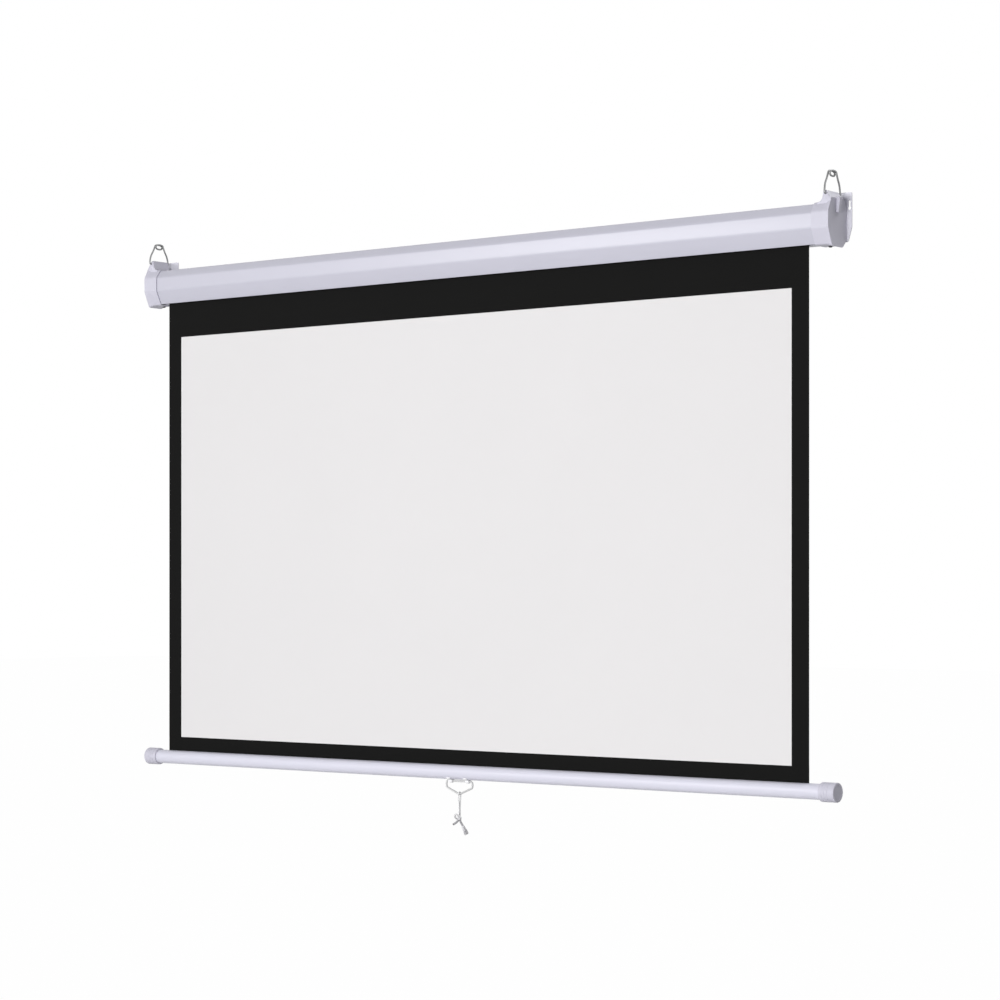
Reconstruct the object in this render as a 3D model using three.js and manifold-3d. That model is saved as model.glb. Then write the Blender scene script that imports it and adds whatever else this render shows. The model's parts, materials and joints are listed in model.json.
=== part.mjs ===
// Pull-down projector screen: a spring roller in an eight-sided case, with moulded end caps,
// wall plates, wire hangers, a bordered screen fabric, a weighted bottom bar and a pull cord.
// Units are millimetres. +X runs along the width, +Z is up and the wall is the plane y = 0,
// with the front of the screen towards -Y. The origin lies on the wall, midway between the
// two wall plates and level with the middle of the case.
import * as THREE from 'three';
import { mergeVertices } from 'three/addons/utils/BufferGeometryUtils.js';
import Module from 'manifold-3d';

const wasm = await Module();
wasm.setup();

// Driving dimensions

const image = { width: 1594, height: 897 };
const border = { side: 38, top: 77, bottom: 31 };
const fabric = { thickness: 0.4, layer: 0.3 };

const gap = 0.3;
const overrun = 6;

const shell = {
  height: 75, depth: 64, wall: 1.2, offWall: 5, pastFabric: 45, cornerRadius: 4,
  topRun: 12, topDrop: 17, lowRun: 14, lowRise: 29,
  rearTopRun: 8, rearTopDrop: 9, rearLowRun: 14, rearLowRise: 12,
  slot: 12, lipHeight: 4,
};

const cap = {
  sleeve: 27, wall: 2.1, flareLength: 15, end: 10, endWall: 4, topFlare: 7, lowFlare: 3, sideFlare: 0.8,
  edge: 1, ledge: 2, bossRadius: 12, ribWall: 2.4, cornerRadius: 5,
};
const lug = {
  depth: 48, rise: 14.5, setBack: 1, bevelRun: 11, bevelDrop: 15, crown: 5, rampRun: 12, sunk: 8,
  cornerRadius: 3,
};
const fin = { width: 8, top: 12, bottom: 41, proud: 8, lowProud: 4, cornerRadius: 1.5 };

const plate = {
  width: 48, outboard: 10, top: 62, bottom: -31, thickness: 2, cornerRadius: 4,
  chamferRun: 8, chamferRise: 28, slotWidth: 4, slotTop: 47, slotInset: 5, holeRadius: 3.4, holeLevel: 32.4,
};
const plateScrew = {
  radius: 1.75, headRadius: 3.6, headDepth: 1.6, length: 9, level: 18, inset: 24, recess: 0.2,
};
const capScrew = { radius: 1.75, headRadius: 3.8, headHeight: 2.2, length: 8, inset: 20, fromWall: 29 };

const roller = { radius: 16, wall: 1.2, rise: 4, fromWall: 30, pastFabric: 2, spareFabric: 0.9 };
const plug = { flange: 3, spigot: 22 };
const arbor = { radius: 4, length: 222, bladeWidth: 7, bladeThickness: 4, bladeLength: 17 };
const ratchet = { radius: 8.5, width: 8, notches: 4, notchFloor: 6.1, notchWidth: 4 };
const pawl = {
  pinCircle: 12.6, pinRadius: 1.5, width: 6, hubRadius: 3, reach: 11, toothWidth: 2.2,
  outRadius: 9.1, inRadius: 6.6, armInner: 11.6, armOuter: 15,
};
const spring = {
  turns: 16, wire: 2, meanRadius: 10, collarLength: 12, collarRadius: 12.5, plugLength: 20, plugOverlap: 7.8,
};
const gudgeon = { radius: 4, collarRadius: 8, length: 22 };
const bush = { outerRadius: 6, flangeRadius: 9, flange: 1.5, length: 15 };

const bar = { radius: 15, wall: 1.2, pastFabric: 58, slot: 2.4, lip: 2, channelWall: 1.2 };
const barCap = {
  radius: 18.5, length: 34, endWall: 4, chamfer: 1.6,
  grooves: 3, grooveWidth: 1.2, grooveDepth: 0.5, pitch: 6,
};
const hem = { rodRadius: 3, rodShort: 3 };
const saddle = { length: 9, spacing: 44, strap: 1.6, foot: 7, lift: 0.8 };
const handle = { width: 68, height: 27, side: 13, wire: 4, cornerRadius: 5 };
const cord = {
  diameter: 3, drop: 50, spread: 1.75, knotRadius: 4.4, bow: 11, shortTail: 15, longTail: 24,
  brushLength: 13, brushRadius: 5.2,
};

const hanger = {
  wire: 3.6, legSpacing: 57, pinLength: 8, pinInset: 11.5, pinDrop: 6.9, shoulder: 20, height: 40,
  eyeWidth: 20.5, eyeHeight: 10, eyeTurns: 1.5, eyeShift: 6.3, play: 0.5,
};

// Places that follow from the sizes above

const fabricHalf = image.width / 2 + border.side;
const caseFront = -(shell.offWall + shell.depth);
const caseBack = -shell.offWall;
const caseTop = shell.height / 2;
const caseBottom = -shell.height / 2;
const shellEnd = fabricHalf + shell.pastFabric;
const capStart = shellEnd - cap.sleeve;
const capEnd = shellEnd + cap.end;
const capOffset = gap + cap.wall;
const rollerY = -roller.fromWall;
const rollerZ = roller.rise;
const rollerEnd = fabricHalf + roller.pastFabric;
const wrapRadius = roller.radius + gap + roller.spareFabric;
const fabricY = rollerY - wrapRadius - fabric.thickness / 2;
const imageTop = caseBottom - border.top;
const imageBottom = imageTop - image.height;
const barTop = imageBottom - border.bottom;
const barZ = barTop - bar.radius;
const barEnd = fabricHalf + bar.pastFabric;
const flangeEnd = rollerEnd + plug.flange;
const ratchetStart = flangeEnd + gap + (ratchet.width - pawl.width) / 2;
const bossStart = flangeEnd + gap + ratchet.width + gap + (ratchet.width - pawl.width) / 2;
const bladeEnd = bossStart + arbor.bladeLength;
const lugBase = caseTop + capOffset + cap.topFlare;
const lugTop = lugBase + lug.rise;
const pinX = capEnd - hanger.pinInset;
const pinZ = lugTop - hanger.pinDrop;
const pinY = (caseFront + caseBack) / 2;
const hingeZ = barZ - bar.radius - gap - saddle.lift - handle.wire / 2;
const handleLow = hingeZ - handle.height;
const cordWrap = handle.wire / 2 + gap + cord.diameter / 2;

// Finishes

const finish = (color, roughness, metalness) =>
  new THREE.MeshStandardMaterial({ color, roughness, metalness });
const paintedSteel = finish(0xdedde8, 0.42, 0.1);
const mouldedPlastic = finish(0xd6d5e2, 0.5, 0);
const barPaint = finish(0xe0dfea, 0.38, 0.1);
const platedSteel = finish(0x8d8f92, 0.34, 0.9);
const zincSteel = finish(0xb9bbc0, 0.4, 0.85);
const springSteel = finish(0x5c5d62, 0.45, 0.9);
const blackFabric = finish(0x1d1d1e, 0.85, 0);
const whiteSurface = finish(0xf0eff0, 0.9, 0);
const nylon = finish(0xf2f1ec, 0.5, 0);
const cottonCord = finish(0xd8d8da, 0.95, 0);

// Helpers

function solid(geometry) {
  const bare = geometry.clone();
  bare.deleteAttribute('normal');
  bare.deleteAttribute('uv');
  const merged = mergeVertices(bare);
  return new wasm.Manifold(new wasm.Mesh({
    numProp: 3,
    vertProperties: merged.attributes.position.array,
    triVerts: Uint32Array.from(merged.index.array),
  }));
}

function geometryOf(body) {
  const { vertProperties, triVerts } = body.getMesh();
  const geometry = new THREE.BufferGeometry();
  geometry.setAttribute('position', new THREE.BufferAttribute(vertProperties, 3));
  geometry.setIndex(new THREE.BufferAttribute(triVerts, 1));
  return geometry;
}

function piece(name, form, material) {
  const geometry = form instanceof THREE.BufferGeometry ? form : geometryOf(form);
  const mesh = new THREE.Mesh(geometry, material);
  mesh.name = name;
  return mesh;
}

const at = (u, v) => new THREE.Vector2(u, v);

function offsetCorners(corners, distance) {
  return corners.map((corner, i) => {
    const along = corner.clone().sub(corners.at(i - 1)).normalize();
    const onward = corners[(i + 1) % corners.length].clone().sub(corner).normalize();
    const normal = at(along.y, -along.x);
    const bisector = at(onward.y, -onward.x).add(normal).normalize();
    return corner.clone().addScaledVector(bisector, distance / bisector.dot(normal));
  });
}

function roundedShape(corners, radius) {
  const shape = new THREE.Shape();
  corners.forEach((corner, i) => {
    const back = corners.at(i - 1).clone().sub(corner).normalize();
    const onward = corners[(i + 1) % corners.length].clone().sub(corner).normalize();
    const reach = radius / Math.tan(Math.acos(back.dot(onward)) / 2);
    const start = corner.clone().addScaledVector(back, reach);
    const end = corner.clone().addScaledVector(onward, reach);
    if (i === 0) shape.moveTo(start.x, start.y);
    else shape.lineTo(start.x, start.y);
    shape.quadraticCurveTo(corner.x, corner.y, end.x, end.y);
  });
  shape.closePath();
  return shape;
}

const rectangle = (u0, v0, u1, v1) =>
  new THREE.Shape([at(u0, v0), at(u1, v0), at(u1, v1), at(u0, v1)]);

function disc(u, v, radius) {
  const shape = new THREE.Shape();
  shape.absarc(u, v, radius, 0, Math.PI * 2);
  return shape;
}

// A (y, z) outline drawn out along X between two places.
function alongX(shape, from, to, curveSegments = 4) {
  const geometry = new THREE.ExtrudeGeometry(shape, {
    depth: Math.abs(to - from), bevelEnabled: false, curveSegments,
  });
  const turn = new THREE.Matrix4().makeBasis(
    new THREE.Vector3(0, 1, 0), new THREE.Vector3(0, 0, 1), new THREE.Vector3(1, 0, 0),
  );
  return geometry.applyMatrix4(turn).translate(Math.min(from, to), 0, 0);
}

// An (x, z) outline drawn out along Y between two places.
function alongY(shape, from, to, curveSegments = 4) {
  const geometry = new THREE.ExtrudeGeometry(shape, {
    depth: Math.abs(to - from), bevelEnabled: false, curveSegments,
  });
  return geometry.rotateX(Math.PI / 2).translate(0, Math.max(from, to), 0);
}

const rodX = (radius, from, to, y, z, sides = 32) =>
  alongX(disc(y, z, radius), from, to, sides / 2);

const rollerRod = (radius, from, to, sides = 32) => rodX(radius, from, to, rollerY, rollerZ, sides);

// A turned piece: profile of (radius, distance) pairs, its axis pointing along `direction`.
function turned(profile, direction, origin, sides = 24) {
  const geometry = new THREE.LatheGeometry(profile.map(([r, h]) => at(r, h)), sides);
  const turn = new THREE.Quaternion().setFromUnitVectors(new THREE.Vector3(0, 1, 0), direction);
  return geometry.applyQuaternion(turn).translate(origin.x, origin.y, origin.z);
}

// A skin through outlines of (y, z) points, each at its own x, closed at both ends.
function loft(sections) {
  const ordered = [...sections].sort((a, b) => a.x - b.x);
  const count = ordered[0].points.length;
  const positions = ordered.flatMap(({ x, points }) => points.flatMap((p) => [x, p.x, p.y]));
  const index = [];
  for (let k = 0; k + 1 < ordered.length; k++) {
    for (let i = 0; i < count; i++) {
      const a = k * count + i;
      const b = k * count + (i + 1) % count;
      index.push(a, b, b + count, a, b + count, a + count);
    }
  }
  const last = (ordered.length - 1) * count;
  for (const [a, b, c] of THREE.ShapeUtils.triangulateShape(ordered[0].points, [])) {
    index.push(c, b, a, last + a, last + b, last + c);
  }
  const geometry = new THREE.BufferGeometry();
  geometry.setAttribute('position', new THREE.Float32BufferAttribute(positions, 3));
  geometry.setIndex(index);
  return geometry;
}

// Round wire along an open curve.
function wireAlong(curve, diameter, steps, sides = 8) {
  const shape = new THREE.Shape();
  shape.absarc(0, 0, diameter / 2, 0, Math.PI * 2);
  return new THREE.ExtrudeGeometry(shape, {
    steps, extrudePath: curve, bevelEnabled: false, curveSegments: sides / 2,
  });
}

// Round wire along a closed (x, z) outline.
function wireLoop(points, diameter, y, sides = 8) {
  const positions = [];
  const index = [];
  const count = points.length;
  points.forEach((point, i) => {
    const tangent = points[(i + 1) % count].clone().sub(points.at(i - 1)).normalize();
    for (let k = 0; k < sides; k++) {
      const angle = (k / sides) * Math.PI * 2;
      const out = (Math.cos(angle) * diameter) / 2;
      const depth = y + (Math.sin(angle) * diameter) / 2;
      positions.push(point.x + tangent.y * out, depth, point.y - tangent.x * out);
      const a = i * sides + k;
      const b = i * sides + (k + 1) % sides;
      const ahead = (((i + 1) % count) - i) * sides;
      index.push(a, b, b + ahead, a, b + ahead, a + ahead);
    }
  });
  const geometry = new THREE.BufferGeometry();
  geometry.setAttribute('position', new THREE.Float32BufferAttribute(positions, 3));
  geometry.setIndex(index);
  return geometry;
}

function pointsOf(shape, divisions) {
  const points = shape.getPoints(divisions);
  if (points[0].distanceTo(points.at(-1)) < gap / 10) points.pop();
  return points;
}

const screenGroup = new THREE.Group();
const add = (...pieces) => screenGroup.add(...pieces);
const sides = [{ word: 'left', sign: -1 }, { word: 'right', sign: 1 }];

// Case

const caseCorners = [
  at(caseBack - shell.rearLowRun, caseBottom),
  at(caseBack, caseBottom + shell.rearLowRise),
  at(caseBack, caseTop - shell.rearTopDrop),
  at(caseBack - shell.rearTopRun, caseTop),
  at(caseFront + shell.topRun, caseTop),
  at(caseFront, caseTop - shell.topDrop),
  at(caseFront, caseBottom + shell.lowRise),
  at(caseFront + shell.lowRun, caseBottom),
];

const caseOutline = (distance, radius = shell.cornerRadius + distance) =>
  roundedShape(offsetCorners(caseCorners, distance), radius);

const screwPlacesOnPlate = (sign) => [
  { word: 'upper', x: sign * (capEnd - plateScrew.inset), z: plateScrew.level },
  { word: 'lower', x: sign * (capEnd - plateScrew.inset), z: -plateScrew.level },
];

function screwHoles(sign) {
  const radius = plateScrew.radius + gap;
  const holes = screwPlacesOnPlate(sign).map(({ x, z }) =>
    solid(alongY(disc(x, z, radius), overrun, -plateScrew.length - overrun, 5)));
  const below = turned(
    [[0, -overrun], [capScrew.radius + gap, -overrun], [capScrew.radius + gap, capScrew.length + overrun],
      [0, capScrew.length + overrun]],
    new THREE.Vector3(0, 0, 1),
    { x: sign * (capEnd - capScrew.inset), y: -capScrew.fromWall, z: caseBottom - capOffset },
    10,
  );
  return holes.reduce((sum, hole) => sum.add(hole), solid(below));
}

function caseShell() {
  const outside = solid(alongX(caseOutline(0), -shellEnd, shellEnd));
  const hollow = solid(alongX(caseOutline(-shell.wall), -shellEnd - overrun, shellEnd + overrun));
  const half = shell.slot / 2;
  const slot = solid(alongX(
    rectangle(fabricY - half, caseBottom - overrun, fabricY + half, caseBottom + overrun),
    -shellEnd - overrun, shellEnd + overrun,
  ));
  const lips = [-1, 1].map((way) => {
    const inner = fabricY + way * half;
    const outer = inner + way * shell.wall;
    const [front, back] = [Math.min(inner, outer), Math.max(inner, outer)];
    const lip = rectangle(front, caseBottom + shell.wall / 2, back, caseBottom + shell.lipHeight);
    return solid(alongX(lip, -shellEnd, shellEnd));
  });
  let body = outside.subtract(hollow).subtract(slot);
  for (const lip of lips) body = body.add(lip);
  for (const { sign } of sides) body = body.subtract(screwHoles(sign));
  return body;
}

add(piece('case_shell', caseShell(), paintedSteel));

// End caps

function capSection(x, grow, flareShare) {
  const corners = offsetCorners(caseCorners, grow + cap.sideFlare * flareShare).map((corner) => {
    const flare = corner.y > 0 ? cap.topFlare : -cap.lowFlare;
    const followsEnd = Math.abs(corner.y) > caseTop - cap.sideFlare ? 1 : 0;
    return at(corner.x, corner.y + flare * flareShare * followsEnd);
  });
  return { x, points: pointsOf(roundedShape(corners, cap.cornerRadius), 4) };
}

const flareShares = { start: 0.2, end: 0.7 };

function capOutside(sign) {
  const flareStart = capEnd - cap.flareLength;
  return loft([
    capSection(sign * capStart, capOffset - cap.edge, 0),
    capSection(sign * (capStart + cap.edge), capOffset, 0),
    capSection(sign * flareStart, capOffset, 0),
    capSection(sign * (flareStart + cap.flareLength / 3), capOffset, flareShares.start),
    capSection(sign * (flareStart + cap.flareLength * 2 / 3), capOffset, flareShares.end),
    capSection(sign * (capEnd - cap.edge), capOffset, 1),
    capSection(sign * capEnd, capOffset - cap.edge, 1),
  ]);
}

const lugBevelTop = lug.setBack + lug.bevelRun;
const lugRampTop = lugBevelTop + lug.crown;
const lugRampFoot = lugRampTop + lug.rampRun;

// The lug from the front: a hollow ramp up from the sleeve, a short crown and a long outer bevel.
function lugSide(sign) {
  const x = (inset) => sign * (capEnd - inset);
  const root = caseTop - lug.sunk;
  const foot = caseTop + capOffset - cap.edge / 2;
  const round = lug.cornerRadius / 2;
  const onBevel = lugBevelTop - (round * lug.bevelRun) / lug.bevelDrop;
  const shape = new THREE.Shape();
  shape.moveTo(x(lugRampFoot), root);
  shape.lineTo(x(lugRampFoot), foot);
  shape.quadraticCurveTo(x(lugRampTop + round), foot + round, x(lugRampTop), lugTop - round);
  shape.quadraticCurveTo(x(lugRampTop), lugTop, x(lugRampTop - round), lugTop);
  shape.lineTo(x(lugBevelTop + round), lugTop);
  shape.quadraticCurveTo(x(lugBevelTop), lugTop, x(onBevel), lugTop - round);
  shape.lineTo(x(lug.setBack), lugTop - lug.bevelDrop);
  shape.lineTo(x(lug.setBack), root);
  shape.closePath();
  return shape;
}

function capLug(sign) {
  const front = pinY - lug.depth / 2;
  const back = pinY + lug.depth / 2;
  const root = caseTop - lug.sunk;
  const profile = roundedShape(
    [at(back, root), at(back, lugTop), at(front, lugTop), at(front, root)], lug.cornerRadius);
  const block = solid(alongX(profile, sign * (capEnd - lugRampFoot), sign * capEnd));
  return block.intersect(solid(alongY(lugSide(sign), back + overrun, front - overrun, 6)));
}

function capFin(sign) {
  const inner = capEnd - cap.endWall / 2 - lug.setBack;
  const corners = [
    at(inner, lugTop - fin.bottom), at(capEnd + fin.lowProud, lugTop - fin.bottom),
    at(capEnd + fin.proud, lugTop - fin.top), at(inner, lugTop - fin.top),
  ].map((corner) => at(sign * corner.x, corner.y));
  if (sign < 0) corners.reverse();
  return solid(alongY(roundedShape(corners, fin.cornerRadius), pinY - fin.width / 2, pinY + fin.width / 2));
}

function lugBores(sign) {
  const radius = hanger.wire / 2 + hanger.play;
  const depth = hanger.pinLength + gap;
  return [-1, 1].map((way) => {
    const face = pinY + way * lug.depth / 2;
    return solid(alongY(disc(sign * pinX, pinZ, radius), face + way * overrun, face - way * depth, 4));
  });
}

function bossBore(sign) {
  if (sign > 0) {
    const floor = bossStart + bush.length + gap;
    return rollerRod(bush.outerRadius + gap, bossStart - overrun, floor, 16);
  }
  const halfWidth = arbor.bladeWidth / 2 + gap;
  const halfThickness = arbor.bladeThickness / 2 + gap;
  return alongX(
    rectangle(rollerY - halfThickness, rollerZ - halfWidth, rollerY + halfThickness, rollerZ + halfWidth),
    -bossStart + overrun, -bladeEnd - gap,
  );
}

function bossRibs(sign) {
  const half = cap.ribWall / 2;
  const start = sign * (shellEnd + gap);
  const end = sign * (capEnd - cap.endWall / 2);
  const inside = solid(alongX(caseOutline(0), start, end));
  const upright = solid(alongX(rectangle(rollerY - half, caseBottom, rollerY + half, caseTop), start, end));
  const level = solid(alongX(rectangle(caseFront, rollerZ - half, caseBack, rollerZ + half), start, end));
  return upright.add(level).intersect(inside);
}

function endCap(sign) {
  const seat = solid(alongX(caseOutline(gap), sign * (capStart - overrun), sign * (shellEnd + gap)));
  const pocket = solid(alongX(caseOutline(-cap.ledge), sign * shellEnd, sign * (capEnd - cap.endWall)));
  const bossEnd = capEnd - cap.endWall / 2;
  const boss = solid(rollerRod(cap.bossRadius, sign * bossStart, sign * bossEnd, 16));
  let body = solid(capOutside(sign)).add(capLug(sign)).add(capFin(sign)).subtract(seat).subtract(pocket);
  body = body.add(boss).add(bossRibs(sign)).subtract(solid(bossBore(sign)));
  for (const bore of lugBores(sign)) body = body.subtract(bore);
  const behind = solid(alongX(
    rectangle(-plate.thickness, caseBottom - overrun, overrun, lugTop + overrun),
    sign * (capStart - overrun), sign * (capEnd + overrun),
  ));
  return body.subtract(screwHoles(sign)).subtract(behind);
}

for (const { word, sign } of sides) add(piece(`end_cap_${word}`, endCap(sign), mouldedPlastic));

// Wall plates and screws

function wallPlate(sign) {
  const outer = capEnd + plate.outboard;
  const inner = outer - plate.width;
  const corners = [
    at(inner, plate.bottom), at(outer - plate.chamferRun, plate.bottom),
    at(outer, plate.bottom + plate.chamferRise), at(outer, plate.top), at(inner, plate.top),
  ].map((corner) => at(sign * corner.x, corner.y));
  if (sign < 0) corners.reverse();
  const x = sign * (outer - plate.slotInset);
  const half = plate.slotWidth / 2;
  const slot = new THREE.Shape();
  slot.absarc(x, plate.slotTop - half, half, 0, Math.PI);
  slot.lineTo(x - half, plate.holeLevel);
  slot.lineTo(x + half, plate.holeLevel);
  slot.closePath();
  let body = solid(alongY(roundedShape(corners, plate.cornerRadius), 0, -plate.thickness))
    .subtract(solid(alongY(slot, overrun, -overrun, 4)))
    .subtract(solid(alongY(disc(x, plate.holeLevel, plate.holeRadius), overrun, -overrun, 6)));
  for (const place of screwPlacesOnPlate(sign)) {
    body = body.subtract(solid(countersink(place)));
  }
  return body;
}

function countersink({ x, z }) {
  const shank = plateScrew.radius + gap;
  const head = plateScrew.headRadius + gap;
  const floor = plateScrew.recess + plateScrew.headDepth;
  return turned(
    [[0, -overrun], [head, -overrun], [head, plateScrew.recess],
      [shank, floor], [shank, floor + overrun], [0, floor + overrun]],
    new THREE.Vector3(0, -1, 0), { x, y: 0, z }, 12,
  );
}

function plateScrewBody({ x, z }) {
  const { radius, headRadius, headDepth, length, recess } = plateScrew;
  return turned(
    [[0, recess], [headRadius, recess], [radius, recess + headDepth], [radius, length - radius], [0, length]],
    new THREE.Vector3(0, -1, 0), { x, y: 0, z }, 12,
  );
}

const headCrownShare = 0.7;

function capScrewBody(sign) {
  const { radius, headRadius, headHeight, length, inset, fromWall } = capScrew;
  return turned(
    [[0, -headHeight - gap], [headRadius * headCrownShare, -headHeight - gap], [headRadius, -headHeight / 2],
      [headRadius, -gap], [radius, -gap], [radius, length - radius], [0, length]],
    new THREE.Vector3(0, 0, 1), { x: sign * (capEnd - inset), y: -fromWall, z: caseBottom - capOffset }, 12,
  );
}

for (const { word, sign } of sides) {
  add(piece(`wall_plate_${word}`, wallPlate(sign), zincSteel));
  add(piece(`cap_screw_${word}`, capScrewBody(sign), springSteel));
  for (const place of screwPlacesOnPlate(sign)) {
    add(piece(`plate_screw_${word}_${place.word}`, plateScrewBody(place), zincSteel));
  }
}

// Spring arbor, ratchet and torsion spring, held still by the left end cap

function springArbor() {
  const { radius, length, bladeWidth, bladeThickness } = arbor;
  const shaft = solid(rollerRod(radius, -bossStart + gap, -bladeEnd + length, 12));
  const blade = solid(alongX(
    rectangle(
      rollerY - bladeThickness / 2, rollerZ - bladeWidth / 2,
      rollerY + bladeThickness / 2, rollerZ + bladeWidth / 2,
    ),
    -bladeEnd, -bossStart + gap + radius,
  ));
  return shaft.add(blade);
}

// Notches lie under the two pawls when the screen is fully down.
const toothAngle = (radius) => Math.acos(
  (pawl.pinCircle ** 2 + radius ** 2 - pawl.reach ** 2) / (2 * pawl.pinCircle * radius));

function ratchetWheel() {
  const { radius, width, notches, notchFloor, notchWidth } = ratchet;
  const start = -ratchetStart - width;
  let body = solid(rollerRod(radius, start, start + width, 16));
  for (let i = 0; i < notches; i++) {
    const angle = toothAngle(pawl.inRadius) + (i / notches) * Math.PI * 2;
    const notch = rectangle(notchFloor, -notchWidth / 2, radius + overrun, notchWidth / 2);
    const cutter = alongX(notch, start - overrun, start + width + overrun)
      .rotateX(angle).translate(0, rollerY, rollerZ);
    body = body.subtract(solid(cutter));
  }
  const bore = rollerRod(arbor.radius + gap, start - overrun, start + width + overrun, 12);
  return body.subtract(solid(bore));
}

const springOuterEnd = rollerEnd - plug.spigot - gap;
const collarEnd = springOuterEnd - spring.collarLength;
const springInnerEnd = bladeEnd - arbor.length + spring.plugOverlap;
const springLength = collarEnd - gap - springInnerEnd;

function springCollar() {
  const bore = rollerRod(arbor.radius + gap, -springOuterEnd - overrun, -collarEnd + overrun, 12);
  return solid(rollerRod(spring.collarRadius, -springOuterEnd, -collarEnd, 12)).subtract(solid(bore));
}

class Coil extends THREE.Curve {
  getPoint(t, target = new THREE.Vector3()) {
    const angle = t * spring.turns * Math.PI * 2;
    const x = -collarEnd + gap + spring.wire / 2 + t * (springLength - spring.wire);
    return target.set(
      x, rollerY + Math.cos(angle) * spring.meanRadius, rollerZ + Math.sin(angle) * spring.meanRadius);
  }
}

add(
  piece('spring_arbor', springArbor(), platedSteel),
  piece('ratchet_wheel', ratchetWheel(), platedSteel),
  piece('spring_collar', springCollar(), nylon),
  piece('torsion_spring', wireAlong(new Coil(), spring.wire, spring.turns * 8, 6), springSteel),
);

// Roller

function rollerTube() {
  const bore = rollerRod(roller.radius - roller.wall, -rollerEnd - overrun, rollerEnd + overrun);
  return solid(rollerRod(roller.radius, -rollerEnd, rollerEnd)).subtract(solid(bore));
}

function fabricWrap() {
  const bore = rollerRod(roller.radius + gap, -fabricHalf - overrun, fabricHalf + overrun);
  return solid(rollerRod(wrapRadius, -fabricHalf, fabricHalf)).subtract(solid(bore));
}

function rollerPlug(sign, boreRadius) {
  const spigotRadius = roller.radius - roller.wall - gap;
  const spigotEnd = rollerEnd - plug.spigot;
  const bore = rollerRod(boreRadius, sign * (spigotEnd - overrun), sign * (flangeEnd + overrun), 12);
  return solid(rollerRod(roller.radius, sign * rollerEnd, sign * flangeEnd))
    .add(solid(rollerRod(spigotRadius, sign * spigotEnd, sign * flangeEnd)))
    .subtract(solid(bore));
}

const pawlAngles = [0, Math.PI];
const pawlStart = flangeEnd + gap;

function pawlPlate() {
  let body = rollerPlug(-1, arbor.radius + 2 * gap);
  for (const angle of pawlAngles) {
    const y = rollerY + Math.cos(angle) * pawl.pinCircle;
    const z = rollerZ + Math.sin(angle) * pawl.pinCircle;
    body = body.add(solid(rodX(pawl.pinRadius, -flangeEnd + gap, -pawlStart - pawl.width, y, z, 8)));
  }
  return body;
}

function pawlBody(angle) {
  const arm = new THREE.Shape();
  const tip = toothAngle(pawl.outRadius) + pawl.toothWidth / pawl.armInner;
  arm.absarc(0, 0, pawl.armOuter, 0, tip, false);
  arm.absarc(0, 0, pawl.armInner, tip, 0, true);
  arm.closePath();
  const from = -pawlStart;
  const to = -pawlStart - pawl.width;
  const half = pawl.toothWidth / 2;
  const middle = (pawl.armInner + pawl.armOuter) / 2;
  const tooth = alongX(rectangle(pawl.outRadius, -half, middle, half), from, to)
    .rotateX(toothAngle(pawl.outRadius));
  const body = solid(alongX(arm, from, to, 6)).add(solid(tooth))
    .add(solid(rodX(pawl.hubRadius, from, to, pawl.pinCircle, 0, 12)))
    .subtract(solid(rodX(pawl.pinRadius + gap, from + overrun, to - overrun, pawl.pinCircle, 0, 8)));
  return geometryOf(body).rotateX(angle).translate(0, rollerY, rollerZ);
}

function springPlug() {
  const radius = roller.radius - roller.wall - gap;
  const from = -springInnerEnd + gap;
  const to = from + spring.plugLength;
  const bore = rollerRod(arbor.radius + 2 * gap, from - overrun, to + overrun, 12);
  return solid(rollerRod(radius, from, to)).subtract(solid(bore));
}

const bushFace = bossStart - bush.flange - gap;

function gudgeonPin() {
  const { radius, collarRadius, length } = gudgeon;
  const tip = bossStart + bush.length - gap;
  return solid(rollerRod(radius, rollerEnd - length, tip, 16))
    .add(solid(rollerRod(collarRadius, flangeEnd + gap, bushFace - gap, 16)));
}

function bearingBush() {
  const end = bossStart + bush.length;
  return solid(rollerRod(bush.outerRadius, bushFace, end, 16))
    .add(solid(rollerRod(bush.flangeRadius, bushFace, bushFace + bush.flange, 16)))
    .subtract(solid(rollerRod(gudgeon.radius + gap, bushFace - overrun, end + overrun, 16)));
}

add(
  piece('bearing_bush', bearingBush(), nylon),
  piece('roller_tube', rollerTube(), zincSteel),
  piece('fabric_wrap', fabricWrap(), blackFabric),
  piece('pawl_plate', pawlPlate(), platedSteel),
  piece('roller_plug', rollerPlug(1, gudgeon.radius + gap), nylon),
  piece('gudgeon_pin', gudgeonPin(), platedSteel),
  piece('spring_plug', springPlug(), nylon),
  piece('pawl_rear', pawlBody(pawlAngles[0]), platedSteel),
  piece('pawl_front', pawlBody(pawlAngles[1]), platedSteel),
);

// Screen fabric

const fabricFront = fabricY - fabric.thickness / 2;
const fabricBack = fabricY + fabric.thickness / 2;
const hanging = rectangle(fabricFront, imageBottom, fabricBack, rollerZ);
const coated = rectangle(fabricFront - fabric.layer, imageBottom, fabricFront, imageTop);
add(
  piece('screen_fabric', alongX(hanging, -fabricHalf, fabricHalf), blackFabric),
  piece('viewing_surface', alongX(coated, -image.width / 2, image.width / 2), whiteSurface),
);

// Bottom bar

const hemInner = hem.rodRadius + gap;
const hemOuter = hemInner + fabric.thickness;
const channelRadius = hemOuter + gap;
const rodZ = barTop - bar.lip - channelRadius;

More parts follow.
